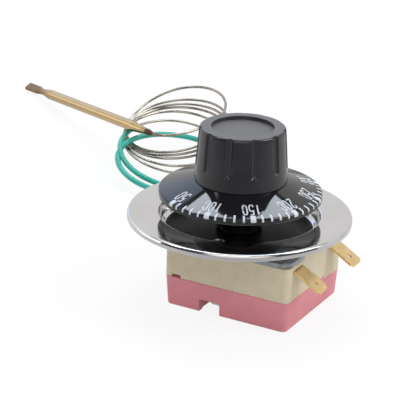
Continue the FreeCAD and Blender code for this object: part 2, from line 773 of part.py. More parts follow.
def make_contact_arm():
    """Leaf with a rolled end round the pivot pin and a hole for the contact rivet."""
    half = ARM_WIDTH / 2
    bore = PIVOT_R + RUNNING
    start = V(PIVOT_X, -half, ARM_Z)
    barrel = Part.makeCylinder(bore + BARREL_WALL, ARM_WIDTH, start, V(0, 1, 0))
    leaf = box(-ARM_REACH, PIVOT_X, -half, half, ARM_BOTTOM_Z, ARM_BOTTOM_Z + ARM_T)
    leaf = leaf.makeFillet(
        half - 0.5,
        edges_at(
            leaf,
            lambda e: abs(e.Length - ARM_T) < 1e-6 and e.Vertexes[0].Point.x < 0,
        ),
    )
    arm = leaf.fuse(barrel).cut(Part.makeCylinder(bore, ARM_WIDTH, start, V(0, 1, 0)))
    hole = rod(CONTACT_R / 2, ARM_BOTTOM_Z - 1, ARM_BOTTOM_Z + ARM_T + 1, CONTACT_X, 0)
    return arm.cut(hole).removeSplitter()


def make_moving_contact():
    """Silver rivet: domed face below the leaf, staked head above it."""
    top = ARM_BOTTOM_Z + ARM_T
    face = ARM_BOTTOM_Z - CONTACT_HEIGHT
    rivet = turned(
        (
            (0, face),
            (CONTACT_R - 0.5, face),
            (CONTACT_R, face + 0.4),
            (CONTACT_R, ARM_BOTTOM_Z),
            (CONTACT_R / 2, ARM_BOTTOM_Z),
            (CONTACT_R / 2, top),
            (CONTACT_R - 0.4, top),
            (CONTACT_R - 0.6, top + CONTACT_HEAD),
            (0, top + CONTACT_HEAD),
        )
    )
    rivet.translate(V(CONTACT_X, 0, 0))
    return rivet


def make_fixed_contact():
    face = ARM_BOTTOM_Z - CONTACT_HEIGHT - CONTACT_GAP
    rivet = turned(
        (
            (0, JOINT_Z),
            (CONTACT_R / 2, JOINT_Z),
            (CONTACT_R / 2, FOOT_TOP_Z),
            (CONTACT_R, FOOT_TOP_Z),
            (CONTACT_R, face - 0.2),
            (CONTACT_R - 0.3, face),
            (0, face),
        )
    )
    rivet.translate(V(CONTACT_X, 0, 0))
    return rivet


def make_pressure_pin():
    low = CAPSULE_TOP_Z + CAPSULE_BOSS + PIN_SEAT_GAP
    high = ARM_BOTTOM_Z - PIN_GAP
    pin = rod(PIN_R, low, high)
    ends = edges_at(pin, lambda e: circle_at(e, PIN_R, low) or circle_at(e, PIN_R, high))
    return pin.makeFillet(0.4, ends)


def make_capsule():
    """Two corrugated diaphragms welded at the rim, with a boss on each and a filling stub."""
    top = CAPSULE_TOP_Z
    mid = CAPSULE_MID_Z
    rim = CAPSULE_RIM / 2
    r = CAPSULE_R
    boss = CAPSULE_BOSS_R
    upper = (
        (r, mid + rim),
        (r - 1.2, mid + rim),
        (r - 1.9, top - 0.25),
        (r - 3.1, top - 0.05),
        (r - 4.1, top - 0.35),
        (r - 5.1, top - 0.05),
        (r - 5.9, top),
        (boss, top),
        (boss, top + CAPSULE_BOSS),
        (0, top + CAPSULE_BOSS),
    )
    lower = tuple((radius, 2 * mid - z) for radius, z in reversed(upper))
    body = turned(upper + lower)
    start, direction = outlet_line()
    stub = Part.makeCylinder(STUB_R, STUB_LENGTH + 1.5, start - direction * 1.5, direction)
    bore = Part.makeCylinder(CAPILLARY_R + 0.02, STUB_LENGTH, start, direction)
    return body.fuse(stub).cut(bore).removeSplitter()


def outlet_line():
    """Start of the capillary in the capsule's stub, and its way to the wall notch."""
    direction = V(OUTLET_X, HALF_WIDTH, 0)
    direction.normalize()
    start = direction * CAPSULE_R
    return V(start.x, start.y, CAPSULE_MID_Z), direction


def make_strap():
    """Hat shaped steel strap that presses the capsule into its recess."""
    t = STRAP_T
    low = STRAP_Z
    seat = RECESS_Z
    a = STRAP_STEP_Y
    b = STRAP_HALF_LENGTH
    outline = (
        (-b, seat),
        (-b, seat - t),
        (-a - t, seat - t),
        (-a - t, low),
        (a + t, low),
        (a + t, seat - t),
        (b, seat - t),
        (b, seat),
        (a, seat),
        (a, low + t),
        (-a, low + t),
        (-a, seat),
    )
    corners = [V(-STRAP_HALF, y, z) for y, z in outline]
    strap = Part.Face(Part.makePolygon(corners + corners[:1])).extrude(V(2 * STRAP_HALF, 0, 0))
    for side in (-1, 1):
        y = side * STRAP_SCREW_Y
        strap = strap.cut(rod(STRAP_SCREW_R + 0.02, seat - t - 1, seat + 1, 0, y))
    return strap.cut(rod(CALIBRATION_R + 0.02, low - 1, low + t + 1))


def make_strap_screws():
    screws = []
    for side in (-1, 1):
        y = side * STRAP_SCREW_Y
        seat = RECESS_Z - STRAP_T
        head = rod(STRAP_SCREW_HEAD_R, seat - STRAP_SCREW_HEAD, seat, 0, y)
        low = seat - STRAP_SCREW_HEAD
        head = head.makeFillet(
            1.1, edges_at(head, lambda e: circle_at(e, STRAP_SCREW_HEAD_R, low))
        )
        shank = rod(STRAP_SCREW_R, seat, RECESS_Z + STRAP_SCREW_LENGTH, 0, y)
        slot = box(-0.35, 0.35, y - 3, y + 3, low - 1, low + 0.7)
        screws.append(head.fuse(shank).cut(slot))
    return Part.makeCompound(screws)


def make_calibration_screw():
    low = BASE_Z + 0.1
    screw = rod(CALIBRATION_R, low, CAPSULE_BOTTOM_Z - CAPSULE_BOSS)
    return screw.cut(box(-2, 2, -0.3, 0.3, low - 1, low + 0.5))


def make_dial_skirt():
    """Shallow cone with a rim band, a seat for the grip and a deep sleeve round the hub."""
    t = SKIRT_T
    bore = HUB_R + RUNNING
    sleeve = bore + SLEEVE_WALL
    band_top = SKIRT_BOTTOM_Z + SKIRT_BAND
    slope = (GRIP_BOTTOM_Z - band_top) / (SKIRT_R - SKIRT_TOP_R)
    rim_in = SKIRT_R - t
    under = GRIP_BOTTOM_Z - t
    return turned(
        (
            (bore, SLEEVE_BOTTOM_Z),
            (sleeve, SLEEVE_BOTTOM_Z),
            (sleeve, under),
            (SKIRT_TOP_R, under),
            (rim_in, under - slope * (rim_in - SKIRT_TOP_R)),
            (rim_in, SKIRT_BOTTOM_Z),
            (SKIRT_R, SKIRT_BOTTOM_Z),
            (SKIRT_R, band_top),
            (SKIRT_R - SKIRT_BEVEL, band_top + SKIRT_BEVEL),
            (SKIRT_TOP_R, GRIP_BOTTOM_Z),
            (bore, GRIP_BOTTOM_Z),
        )
    )


def make_grip():
    """Fluted cap with a sunk top, a flatted hub and webs between hub and wall."""
    rise = GRIP_TOP_Z - GRIP_BOTTOM_Z
    taper = (GRIP_BOTTOM_R - GRIP_TOP_R) / rise
    ceiling = GRIP_TOP_Z - RECESS_DEPTH - GRIP_CEILING

    def side(z):
        return GRIP_BOTTOM_R - taper * (z - GRIP_BOTTOM_Z)

    cap = turned(
        (
            (0, GRIP_BOTTOM_Z),
            (GRIP_BOTTOM_R, GRIP_BOTTOM_Z),
            (GRIP_TOP_R, GRIP_TOP_Z),
            (RECESS_R, GRIP_TOP_Z),
            (RECESS_R, GRIP_TOP_Z - RECESS_DEPTH),
            (0, GRIP_TOP_Z - RECESS_DEPTH),
        )
    )
    cap = cap.makeFillet(
        GRIP_EDGE_R, edges_at(cap, lambda e: circle_at(e, GRIP_TOP_R, GRIP_TOP_Z))
    )
    hollow = turned(
        (
            (HUB_R, GRIP_BOTTOM_Z - 1),
            (side(GRIP_BOTTOM_Z - 1) - GRIP_WALL, GRIP_BOTTOM_Z - 1),
            (side(ceiling) - GRIP_WALL, ceiling),
            (HUB_R, ceiling),
        )
    )
    webs = []
    for i in range(WEBS):
        web = box(0, GRIP_BOTTOM_R, -WEB_T / 2, WEB_T / 2, WEB_BOTTOM_Z, GRIP_TOP_Z)
        web.rotate(V(0, 0, 0), UP, 45 + 360 * i / WEBS)
        webs.append(web)
    cap = cap.cut(hollow.cut(Part.makeCompound(webs)))
    cap = cap.fuse(rod(HUB_R, HUB_BOTTOM_Z, GRIP_BOTTOM_Z + 1))
    bore = rod(SHAFT_R + RUNNING, HUB_BOTTOM_Z - 1, HUB_BORE_TOP_Z)
    flat_x = SHAFT_R - FLAT_DEPTH + CLIP_T + 2 * RUNNING
    key = box(flat_x, SHAFT_R + 1, -SHAFT_R - 1, SHAFT_R + 1, FLAT_BOTTOM_Z + 0.3, HUB_BORE_TOP_Z)
    cap = cap.cut(bore.cut(key))
    low = V(side(FLUTE_BOTTOM_Z) - FLUTE_DEPTH + FLUTE_R, 0, FLUTE_BOTTOM_Z + FLUTE_R)
    high = V(side(GRIP_TOP_Z + 2) - FLUTE_DEPTH + FLUTE_R, 0, GRIP_TOP_Z + 2)
    groove = Part.makeCylinder(FLUTE_R, (high - low).Length, low, high - low)
    groove = groove.fuse(Part.makeSphere(FLUTE_R, low))
    flutes = []
    for i in range(FLUTES):
        flute = groove.copy()
        flute.rotate(V(0, 0, 0), UP, FLUTE_PHASE + 360 * i / FLUTES)
        flutes.append(flute)
    return cap.cut(Part.makeCompound(flutes)).removeSplitter()


def make_shaft_clip():
    """Flat spring between the spindle's flat and the hub."""
    x0 = SHAFT_R - FLAT_DEPTH + RUNNING
    half = CLIP_WIDTH / 2
    return box(x0, x0 + CLIP_T, -half, half, CLIP_BOTTOM_Z, CLIP_TOP_Z)


def tube_path(points, label):
    """Straight runs joined by tangent arcs, each as large as its two runs allow."""
    edges = []
    radii = []
    start = points[0]
    for before, corner, after in zip(points, points[1:], points[2:]):
        a = corner - before
        b = after - corner
        turn = a.getAngle(b)
        radius = 0.45 * min(a.Length, b.Length) / math.tan(turn / 2)
        reach = radius * math.tan(turn / 2)
        a.normalize()
        b.normalize()
        enter = corner - a * reach
        leave = corner + b * reach
        inward = b - a
        inward.normalize()
        middle = corner + inward * (radius / math.cos(turn / 2) - radius)
        edges.append(Part.LineSegment(start, enter).toShape())
        edges.append(Part.Arc(enter, middle, leave).toShape())
        radii.append(round(radius, 1))
        start = leave
    edges.append(Part.LineSegment(start, points[-1]).toShape())
    print(label, "radii", radii)
    return Part.Wire(edges)


def tube(path, radius):
    first = path.Edges[0]
    start = first.valueAt(first.FirstParameter)
    heading = first.tangentAt(first.FirstParameter)
    section = Part.Wire([Part.Circle(start, heading, radius).toShape()])
    solid = path.makePipeShell([section], True, False)
    exact = math.pi * radius**2 * path.Length
    print("tube volume", round(solid.Volume, 2), "section times length", round(exact, 2))
    return solid


def coil_axes(tilt, roll):
    """Directions across and away in a turn that leans by tilt and rolls to one side."""
    view = math.radians(VIEW_ANGLE)
    lean = math.radians(tilt)
    bank = math.radians(roll)
    right = V(math.cos(view), math.sin(view), 0)
    away = V(-math.sin(view), math.cos(view), 0)
    across = right * math.cos(bank) + UP * math.sin(bank)
    back = away * math.cos(lean) + across.cross(away) * math.sin(lean)
    return right, away, across, back


def coil_centre(right_mm, away_mm, height):
    right, away, across, back = coil_axes(0, 0)
    return right * right_mm + away * away_mm + V(0, 0, height)


def lead_points():
    """Route from the capsule out of the base and round to the front of the sleeved turns."""
    start, direction = outlet_line()
    right, away, across, back = coil_axes(SLEEVE_COIL_TILT, SLEEVE_COIL_ROLL)
    joint = coil_centre(*SLEEVE_COIL_AT) - back * SLEEVE_COIL_R
    return [
        start,
        V(-6.3, 19.8, -20.1),
        V(-9.0, 32.0, -20.9),
        V(-13.0, 46.0, -21.3),
        V(-22.0, 58.0, -21.3),
        V(-34.0, 65.5, -21.3),
        V(-47.0, 66.5, -21.2),
        joint,
    ]


def make_lead():
    return tube(tube_path(lead_points(), "lead"), CAPILLARY_R)


def make_lead_sleeve():
    """Insulating sleeve over the lead, from inside the wall notch to the first turn."""
    path = tube_path(lead_points(), "sleeve")
    outer = tube(path, SLEEVE_R)
    bore = tube(path, CAPILLARY_R + SLEEVE_BORE_GAP)
    before = box(-HALF_WIDTH, HALF_WIDTH, 0, SLEEVE_START_Y, BASE_Z - 5, JOINT_Z)
    return outer.cut(bore).cut(before)


def make_sleeve_coil():
    right, away, across, back = coil_axes(SLEEVE_COIL_TILT, SLEEVE_COIL_ROLL)
    centre = coil_centre(*SLEEVE_COIL_AT)
    return Part.makeTorus(SLEEVE_COIL_R, SLEEVE_COIL_THICK, centre, across.cross(back))


def make_capillary_coil():
    """Outer shape of the bare turns: rings that share a place at their left and fan out from it."""
    rings = []
    for i in range(COIL_RINGS):
        share = i / (COIL_RINGS - 1)
        place = [a + (b - a) * share for a, b in zip(COIL_LOW, COIL_HIGH)]
        right, away, across, back = coil_axes(place[3], place[4])
        centre = coil_centre(*place[:3])
        rings.append(Part.makeTorus(COIL_R, COIL_THICK, centre, across.cross(back)))
    return rings[0].fuse(rings[1:])


def tail_points():
    """Route from the last turn round its right side and back to the bulb."""
    right, away, across, back = coil_axes(COIL_HIGH[3], COIL_HIGH[4])
    last = coil_centre(*COIL_HIGH[:3]) + across * (COIL_R - 0.2)
    along = BULB_NOSE - BULB_TAIL
    along.normalize()
    return [
        last,
        coil_centre(-4.6, 119.0, -3.2),
        coil_centre(-9.6, 110.6, -4.2),
        coil_centre(-16.0, 104.2, -5.1),
        coil_centre(-22.6, 100.4, -5.5),
        BULB_NOSE + along * 4.0,
        BULB_NOSE - along * 1.0,
    ]


def make_tail_lead():
    return tube(tube_path(tail_points(), "tail lead"), CAPILLARY_R)


def bulb_frame(shape):
    """Turns a shape drawn along Z from the bulb's tail onto the bulb's real line."""
    along = BULB_NOSE - BULB_TAIL
    along.normalize()
    shape.Placement = FreeCAD.Placement(BULB_TAIL, FreeCAD.Rotation(UP, along))
    return shape


def make_bulb():
    """Drawn tube closed by a flattened tail at one end and a cone at the other."""
    length = (BULB_NOSE - BULB_TAIL).Length
    waist = TAIL_LENGTH + WAIST_LENGTH
    body = waist + SHOULDER_LENGTH
    cone = length - FERRULE_LENGTH - CONE_LENGTH
    tip = length - FERRULE_LENGTH
    round_part = turned(
        (
            (0, TAIL_LENGTH),
            (WAIST_R, TAIL_LENGTH),
            (WAIST_R, waist),
            (BULB_R - 0.25, body - 1.5),
            (BULB_R, body),
            (BULB_R, cone),
            (BULB_R - 0.3, cone + 3),
            (CONE_END_R, tip),
            (0, tip),
        )
    )
    flat = rounded_block(
        -TAIL_T / 2, TAIL_T / 2, -TAIL_HALF, TAIL_HALF, 0, TAIL_LENGTH - 1.5, TAIL_T / 2 - 0.05
    )
    neck = Part.makeLoft(
        [
            rounded_outline(
                -TAIL_T / 2,
                TAIL_T / 2,
                -TAIL_HALF,
                TAIL_HALF,
                TAIL_T / 2 - 0.05,
                TAIL_LENGTH - 1.5,
            ),
            rounded_outline(
                -WAIST_R * 0.95,
                WAIST_R * 0.95,
                -WAIST_R * 0.95,
                WAIST_R * 0.95,
                WAIST_R * 0.7,
                TAIL_LENGTH + 1.0,
            ),
        ],
        True,
        True,
    )
    bulb = round_part.fuse(neck).fuse(flat)
    bulb = bulb.cut(rod(FERRULE_R - 0.15, tip - FERRULE_SEAT, tip + 1))
    return bulb_frame(bulb.removeSplitter())


def make_ferrule():
    """Brazed collar where the capillary enters the bulb."""
    length = (BULB_NOSE - BULB_TAIL).Length
    tip = length - FERRULE_LENGTH
    collar = turned(
        (
            (0, tip - FERRULE_SEAT),
            (FERRULE_R - 0.15, tip - FERRULE_SEAT),
            (FERRULE_R - 0.15, tip),
            (FERRULE_R, tip),
            (FERRULE_R - 0.15, length),
            (0, length),
        )
    )
    collar = collar.cut(rod(CAPILLARY_R, length - 1.0, length + 1))
    return bulb_frame(collar)


def main():
    os.makedirs("parts", exist_ok=True)
    save("mounting_bracket", make_bracket())
    save("bezel", make_bezel())
    save("spindle_bush", make_bush())
    save("spindle", make_spindle())
    save("retaining_ring", make_retaining_ring())
    save("stop_washer", make_stop_washer())
    save("setting_nut", make_setting_nut())
    save("upper_housing", make_upper_housing())
    save("lower_base", make_lower_base())
    save("housing_screws", make_housing_screws())
    save("terminal_front", make_terminal(-1))
    save("terminal_rear", make_terminal(1))
    save("terminal_screws", make_terminal_screws())
    save("contact_post", make_contact_post())
    save("pivot_pin", make_pivot_pin())
    save("contact_arm", make_contact_arm())
    save("moving_contact", make_moving_contact())
    save("fixed_contact", make_fixed_contact())
    save("pressure_pin", make_pressure_pin())
    save("pressure_capsule", make_capsule())
    save("capsule_strap", make_strap())
    save("strap_screws", make_strap_screws())
    save("calibration_screw", make_calibration_screw())
    save("dial_skirt", make_dial_skirt())
    save("knob_grip", make_grip())
    save("shaft_clip", make_shaft_clip())
    save("capillary_lead", make_lead())
    save("capillary_sleeve", make_lead_sleeve())
    save("sleeve_coil", make_sleeve_coil())
    save("capillary_coil", make_capillary_coil())
    save("capillary_end", make_tail_lead())
    save("sensing_bulb", make_bulb())
    save("bulb_ferrule", make_ferrule())


main()
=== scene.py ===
import math

import bmesh
import bpy
from bpy.props import FloatProperty, FloatVectorProperty, IntProperty, PointerProperty
from mathutils import Matrix, Vector, noise


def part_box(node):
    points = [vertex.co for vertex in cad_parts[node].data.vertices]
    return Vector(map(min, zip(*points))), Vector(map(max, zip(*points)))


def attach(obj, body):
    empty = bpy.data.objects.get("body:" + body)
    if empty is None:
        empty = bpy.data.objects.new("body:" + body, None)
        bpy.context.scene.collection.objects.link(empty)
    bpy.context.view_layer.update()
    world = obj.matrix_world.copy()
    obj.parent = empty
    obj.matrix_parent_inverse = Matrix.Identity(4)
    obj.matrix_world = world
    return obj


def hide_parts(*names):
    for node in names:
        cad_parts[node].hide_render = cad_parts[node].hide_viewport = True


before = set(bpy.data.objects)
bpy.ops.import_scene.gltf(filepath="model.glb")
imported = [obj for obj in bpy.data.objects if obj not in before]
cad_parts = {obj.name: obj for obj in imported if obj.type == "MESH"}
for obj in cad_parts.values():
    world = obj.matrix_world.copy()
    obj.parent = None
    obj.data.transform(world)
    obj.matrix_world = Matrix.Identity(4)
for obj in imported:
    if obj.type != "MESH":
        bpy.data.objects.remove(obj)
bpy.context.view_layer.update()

bl_info = {
    "name": "Capillary Thermostat",
    "version": (1, 0, 0),
    "blender": (4, 5, 0),
    "location": "View3D > Sidebar > Thermostat",
    "description": "Dresses a panel thermostat: knob, scale, bezel, housing, capillary and bulb",
    "category": "Object",
}

# Metres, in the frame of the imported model: +Z out of the panel, +X to the tabs, origin in the bracket's face.
MM = 0.001
TABLE_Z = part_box("lower_base")[0].z
UP = Vector((0, 0, 1))
WHITE = (1.0, 1.0, 1.0)
# Points nearer than this are one point
WELD = 1e-7

# Camera of the photograph: which side it stands on, how steeply it looks down, and its tilt
VIEW_AZIMUTH = math.radians(28.4)
VIEW_ELEVATION = math.radians(21.42)
VIEW_ROLL = math.radians(1.69)
CAMERA_PLACE = Vector((0.2392, -0.4685, 0.2152))
SENSOR_WIDTH = 36.0

# Route of the capillary: the points of the solid tubes, in metres
LEAD = (
    (-0.0029, 0.00905, -0.02005), (-0.0063, 0.0198, -0.0201), (-0.0090, 0.0320, -0.0209),
    (-0.0130, 0.0460, -0.0213), (-0.0220, 0.0580, -0.0213), (-0.0340, 0.0655, -0.0213),
    (-0.0470, 0.0665, -0.0212),
)
# Middle of the turns: how far right of the knob's axis they lie in the camera's view
TURNS_RIGHT = -0.0223
# Turns: (turn, away from the camera, height, tilt and roll in degrees, radius), from the photograph
TURNS = (
    (0.0, 0.1020, -0.0168, 11.0, -6.0, 0.0210), (0.5, 0.1000, -0.0165, 11.0, -7.0, 0.0210),
    (1.0, 0.1038, -0.0152, 11.0, -7.0, 0.0210), (1.5, 0.1135, -0.0152, 12.0, -8.0, 0.0200),
    (2.0, 0.1160, -0.0146, 12.0, -5.0, 0.0197), (2.5, 0.1205, -0.0136, 12.0, -2.0, 0.0197),
    (3.0, 0.1185, -0.0130, 12.0, 0.0, 0.0196), (3.5, 0.1215, -0.0122, 12.0, 2.0, 0.0196),
    (4.0, 0.1225, -0.0116, 12.0, 6.0, 0.0195), (4.5, 0.1215, -0.0109, 12.0, 5.0, 0.0195),
    (5.0, 0.1230, -0.0104, 12.0, 9.0, 0.0195), (5.5, 0.1230, -0.0098, 12.0, 8.0, 0.0195),
    (6.0, 0.1230, -0.0091, 12.0, 12.0, 0.0195), (6.5, 0.1270, -0.0073, 14.0, 17.0, 0.0195),
    (6.75, 0.1270, -0.0073, 14.0, 17.0, 0.0195),
)
POINTS_PER_TURN = 16
# From the last turn back to the bulb: (right, away, height) in the camera's directions over the table
TAIL_LEAD = (
    (-0.0046, 0.1190, -0.0032), (-0.0096, 0.1106, -0.0042), (-0.0160, 0.1042, -0.0051),
    (-0.0226, 0.1004, -0.0055),
)
BULB_TAIL = Vector((-0.1706, 0.1359, -0.0210))
BULB_NOSE = Vector((-0.0759, 0.0763, -0.0061))


def length(name, description, default):
    """A size in metres that a user may change."""
    return FloatProperty(
        name=name, description=description, default=default, unit="LENGTH", precision=5, min=0.0
    )


def linear(code):
    """An sRGB hex colour as linear red, green and blue."""
    values = [int(code[i : i + 2], 16) / 255 for i in (1, 3, 5)]
    return tuple(v / 12.92 if v <= 0.04045 else ((v + 0.055) / 1.055) ** 2.4 for v in values)


def colour(name, description, code):
    """A colour that a user may change, given as sRGB hex."""
    return FloatVectorProperty(
        name=name, description=description, default=linear(code), subtype="COLOR", size=3, min=0.0, max=1.0
    )


class KnobSettings(bpy.types.PropertyGroup):
    grip_bottom: length("Grip foot radius", "Radius of the grip where it meets the skirt", 14.6 * MM)
    grip_top: length("Grip top radius", "Radius of the grip at its top edge", 13.3 * MM)
    grip_edge: length("Grip edge", "Rounding of the grip's top edge", 0.8 * MM)
    recess: length("Recess radius", "Radius of the sunk disc in the grip's top", 9.7 * MM)
    recess_depth: length("Recess depth", "How deep the disc is sunk", 1.2 * MM)
    flutes: IntProperty(name="Flutes", description="Grooves round the grip", default=11, min=3, max=40)
    flute_radius: length("Flute radius", "Radius of one groove", 1.2 * MM)
    flute_depth: length("Flute depth", "How far a groove cuts into the wall", 0.75 * MM)
    skirt: length("Skirt radius", "Radius of the dial skirt", 25.4 * MM)
    plastic: colour("Grip plastic", "Colour of the satin grip", "#28272b")
    polished: colour("Skirt plastic", "Colour of the polished skirt", "#1b1b1e")
    print_colour: colour("Print", "Colour of the scale", "#d9dee8")


class ScaleSettings(bpy.types.PropertyGroup):
    first: IntProperty(name="First number", description="Lowest printed number", default=50, min=0)
    numbers: IntProperty(name="Numbers", description="How many numbers the scale has", default=6, min=1)
    step: IntProperty(name="Number step", description="From one number to the next", default=50, min=1)
    ticks_per_step: IntProperty(name="Ticks per step", description="Ticks in one step", default=5, min=1)
    start: FloatProperty(name="First angle", description="Degrees from X to its place", default=-118.35)
    spacing: FloatProperty(name="Spacing", description="Degrees from one number to the next", default=32.5)
    digit_height: length("Digit height", "Height of the printed digits", 4.7 * MM)
    digit_width: length("Digit width", "Width of one digit", 1.65 * MM)
    digit_pitch: length("Digit pitch", "From one digit to the next", 2.0 * MM)
    digit_gap: length("Digit gap", "From a tick's inner end to the digits", 0.25 * MM)
    stroke: length("Stroke", "Width of the digits' strokes", 0.44 * MM)
    tick_length: length("Tick length", "Length of a tick on the cone", 1.95 * MM)
    tick_width: length("Tick width", "Width of a small tick", 0.62 * MM)
    bold_width: length("Bold tick width", "Width of the tick at a number", 1.65 * MM)


class HousingSettings(bpy.types.PropertyGroup):
    beige: colour("Upper ceramic", "Colour of the upper moulding", "#d0c3a6")
    pink: colour("Lower ceramic", "Colour of the base", "#dc8893")
    zinc: colour("Zinc", "Colour of the plated bracket", "#a4abb0")
    brass: colour("Brass", "Colour of the tab terminals", "#f4d79c")
    chrome: colour("Chrome", "Colour of the bezel", "#dbdadb")
    edge: length("Moulded edge", "Rounding of the ceramic edges", 0.22 * MM)
    sheet_edge: length("Sheet edge", "Rounding of stamped sheet edges", 0.08 * MM)


class CapillarySettings(bpy.types.PropertyGroup):
    capillary: length("Capillary diameter", "Outer diameter of the bare tube", 1.0 * MM)
    sleeve: length("Sleeve diameter", "Outer diameter of the insulating sleeve", 2.0 * MM)
    sleeve_turns: FloatProperty(
        name="Sleeved turns", description="Turns of the coil that wear the sleeve", default=1.36, min=0.0
    )
    bulb: length("Bulb diameter", "Diameter of the sensing bulb", 4.0 * MM)
    metal: colour("Capillary metal", "Colour of the drawn tube", "#aba49b")
    green: colour("Sleeve", "Colour of the insulating sleeve", "#2ca494")
    copper: colour("Bulb metal", "Colour of the bulb", "#cbb080")


class StageSettings(bpy.types.PropertyGroup):
    lens: FloatProperty(name="Lens", description="Focal length of the camera", default=164.07, unit="CAMERA")
    floor: colour("Floor", "Colour of floor and wall", "#f4f4f4")


def settings():
    """The sizes and colours that the panel shows."""
    return bpy.context.scene.thermostat


def feed(tree, item, links):
    """Gives each named socket of a node a value or another node's output."""
    for key, value in links.items():
        socket = item.inputs[key]
        if isinstance(value, bpy.types.NodeSocket):
            tree.links.new(value, socket)
        else:
            socket.default_value = (*value[:3], 1.0) if socket.type == "RGBA" else value


def add(tree, kind, links=None, **values):
    """A node with its attributes and its sockets set."""
    item = tree.nodes.new(kind)
    for key, value in values.items():
        setattr(item, key, value)
    feed(tree, item, links or {})
    return item


def empty_tree(holder):
    """The cleared node tree of a material or a world."""
    holder.use_nodes = True
    holder.node_tree.nodes.clear()
    return holder.node_tree


# Most values of a noise lie between these two
NOISE_SPAN = (0.35, 0.65)
# Limits of a value that is a share already, from nothing to all
SHARE = (0.0, 1.0)
METAL = {"Metallic": 1.0}
PHENOLIC_IOR = 1.52
STEATITE_IOR = 1.55
SLEEVE_IOR = 1.48


def grains(tree, place, size, detail, roughness=0.5, stretch=WHITE):
    """Noise whose features are about size metres across, longer along an axis with a small stretch factor."""
    if stretch != WHITE:
        place = add(tree, "ShaderNodeMapping", {"Vector": place, "Scale": stretch}).outputs["Vector"]
    links = {"Vector": place, "Scale": 1.0 / size, "Detail": detail, "Roughness": roughness}
    return add(tree, "ShaderNodeTexNoise", links).outputs["Fac"]


def blend(tree, value, first, second, limits=NOISE_SPAN):
    """A number or a colour that goes from first to second while a value passes between two limits."""
    if isinstance(first, float):
        ends = {"From Min": limits[0], "From Max": limits[1], "To Min": first, "To Max": second}
        return add(tree, "ShaderNodeMapRange", {"Value": value, **ends}).outputs["Result"]
    share = value if limits == SHARE else blend(tree, value, 0.0, 1.0, limits)
    return add(tree, "ShaderNodeMix", {0: share, 6: first, 7: second}, data_type="RGBA").outputs[2]


def clouded(name, tints, cloud, shading, rough=None, relief=None):
    """A material whose tint drifts between two with a noise, and its roughness too where two are given.

    cloud and every other grain hold a size in metres, detail and, where needed, roughness and stretch.
    relief holds a grain, how high it stands in metres, and its strength.
    """
    made = bpy.data.materials.new(name)
    tree = empty_tree(made)
    place = add(tree, "ShaderNodeTexCoord").outputs["Object"]
    drift = grains(tree, place, *cloud)
    shading = {**shading, "Base Color": blend(tree, drift, *tints)}
    if rough:
        shading["Roughness"] = blend(tree, drift, *rough)
    if relief:
        grain, height, strength = relief
        bumps = {"Height": grains(tree, place, *grain), "Distance": height, "Strength": strength}
        shading["Normal"] = add(tree, "ShaderNodeBump", bumps).outputs["Normal"]
    shader = add(tree, "ShaderNodeBsdfPrincipled", shading)
    add(tree, "ShaderNodeOutputMaterial", {"Surface": shader.outputs["BSDF"]})
    return made, tree, shader, place


def cover(tree, shader, share, tint, rougher=0.0):
    """Lays a tint over the finish so far where share is 1, and makes it rougher there."""
    look = {"Base Color": blend(tree, share, shader.inputs["Base Color"].links[0].from_socket, tint, SHARE)}
    if rougher:
        links = {0: share, 1: rougher, 2: shader.inputs["Roughness"].links[0].from_socket}
        look["Roughness"] = add(tree, "ShaderNodeMath", links, operation="MULTIPLY_ADD").outputs[0]
    feed(tree, shader, look)


def along(tree, place, direction):
    """How far a place lies along a direction from the frame's origin, or how much of a heading it has."""
    links = {0: place, 1: direction}
    return add(tree, "ShaderNodeVectorMath", links, operation="DOT_PRODUCT").outputs["Value"]


def facing_up(tree):
    """How far the surface faces up: 1 when level, 0 on a wall, -1 underneath."""
    return along(tree, add(tree, "ShaderNodeTexCoord").outputs["Normal"], UP)


def shades(base, *factors):
    """A colour made darker or lighter by each of the factors."""
    return [tuple(min(1.0, c * factor) for c in base[:3]) for factor in factors]


def from_axis(tree, place):
    """How far a point lies from the knob's axis."""
    level = add(tree, "ShaderNodeMapping", {"Vector": place, "Scale": (1.0, 1.0, 0.0)}).outputs["Vector"]
    return add(tree, "ShaderNodeVectorMath", {0: level}, operation="LENGTH").outputs["Value"]


def in_groove(tree, place):
    """1 at the bottom of the grip's grooves and 0 on its wall: where the grooves' painted highlight goes."""
    knob = settings().knob
    wall = blend(tree, along(tree, place, UP), knob.grip_bottom, knob.grip_top, (GRIP_FOOT, GRIP_HEIGHT))
    depth = add(tree, "ShaderNodeMath", {0: wall, 1: from_axis(tree, place)}, operation="SUBTRACT")
    return blend(tree, depth.outputs[0], 0.0, 1.0, (0.25 * knob.flute_depth, 0.8 * knob.flute_depth))


def grip_plastic():
    """Phenolic: the side came off a polished tool, the top off a fine grained one; the top and the grooves
    carry painted highlight as lighter tints.
    """
    tints = shades(settings().knob.plastic, 0.92, 1.12)
    shading = {"IOR": PHENOLIC_IOR, "Sheen Roughness": 0.5}
    fine = ((0.18 * MM, 2.0), 0.003 * MM, 1.0)
    made, tree, shader, place = clouded(
        "Phenolic, satin moulded", tints, (6 * MM, 3.0), shading, (0.10, 0.14), fine
    )
    top = blend(tree, facing_up(tree), 0.0, 1.0, (0.80, 0.96))
    # Painted highlight: the groove bottoms get a lighter tint in place of the light they catch, which also
    # lifts their shade
    cover(tree, shader, in_groove(tree, place), linear("#333236"))
    # Painted sheen: faces turned up get a lighter tint than the side for the grazing light they show, and are
    # made rougher
    cover(tree, shader, top, linear("#39383b"), 0.33)
    feed(tree, shader, {"Sheen Weight": blend(tree, top, 0.0, 0.31, SHARE)})
    bumps = shader.inputs["Normal"].links[0].from_node
    feed(tree, bumps, {"Strength": blend(tree, top, 0.06, 1.0, SHARE)})
    return made


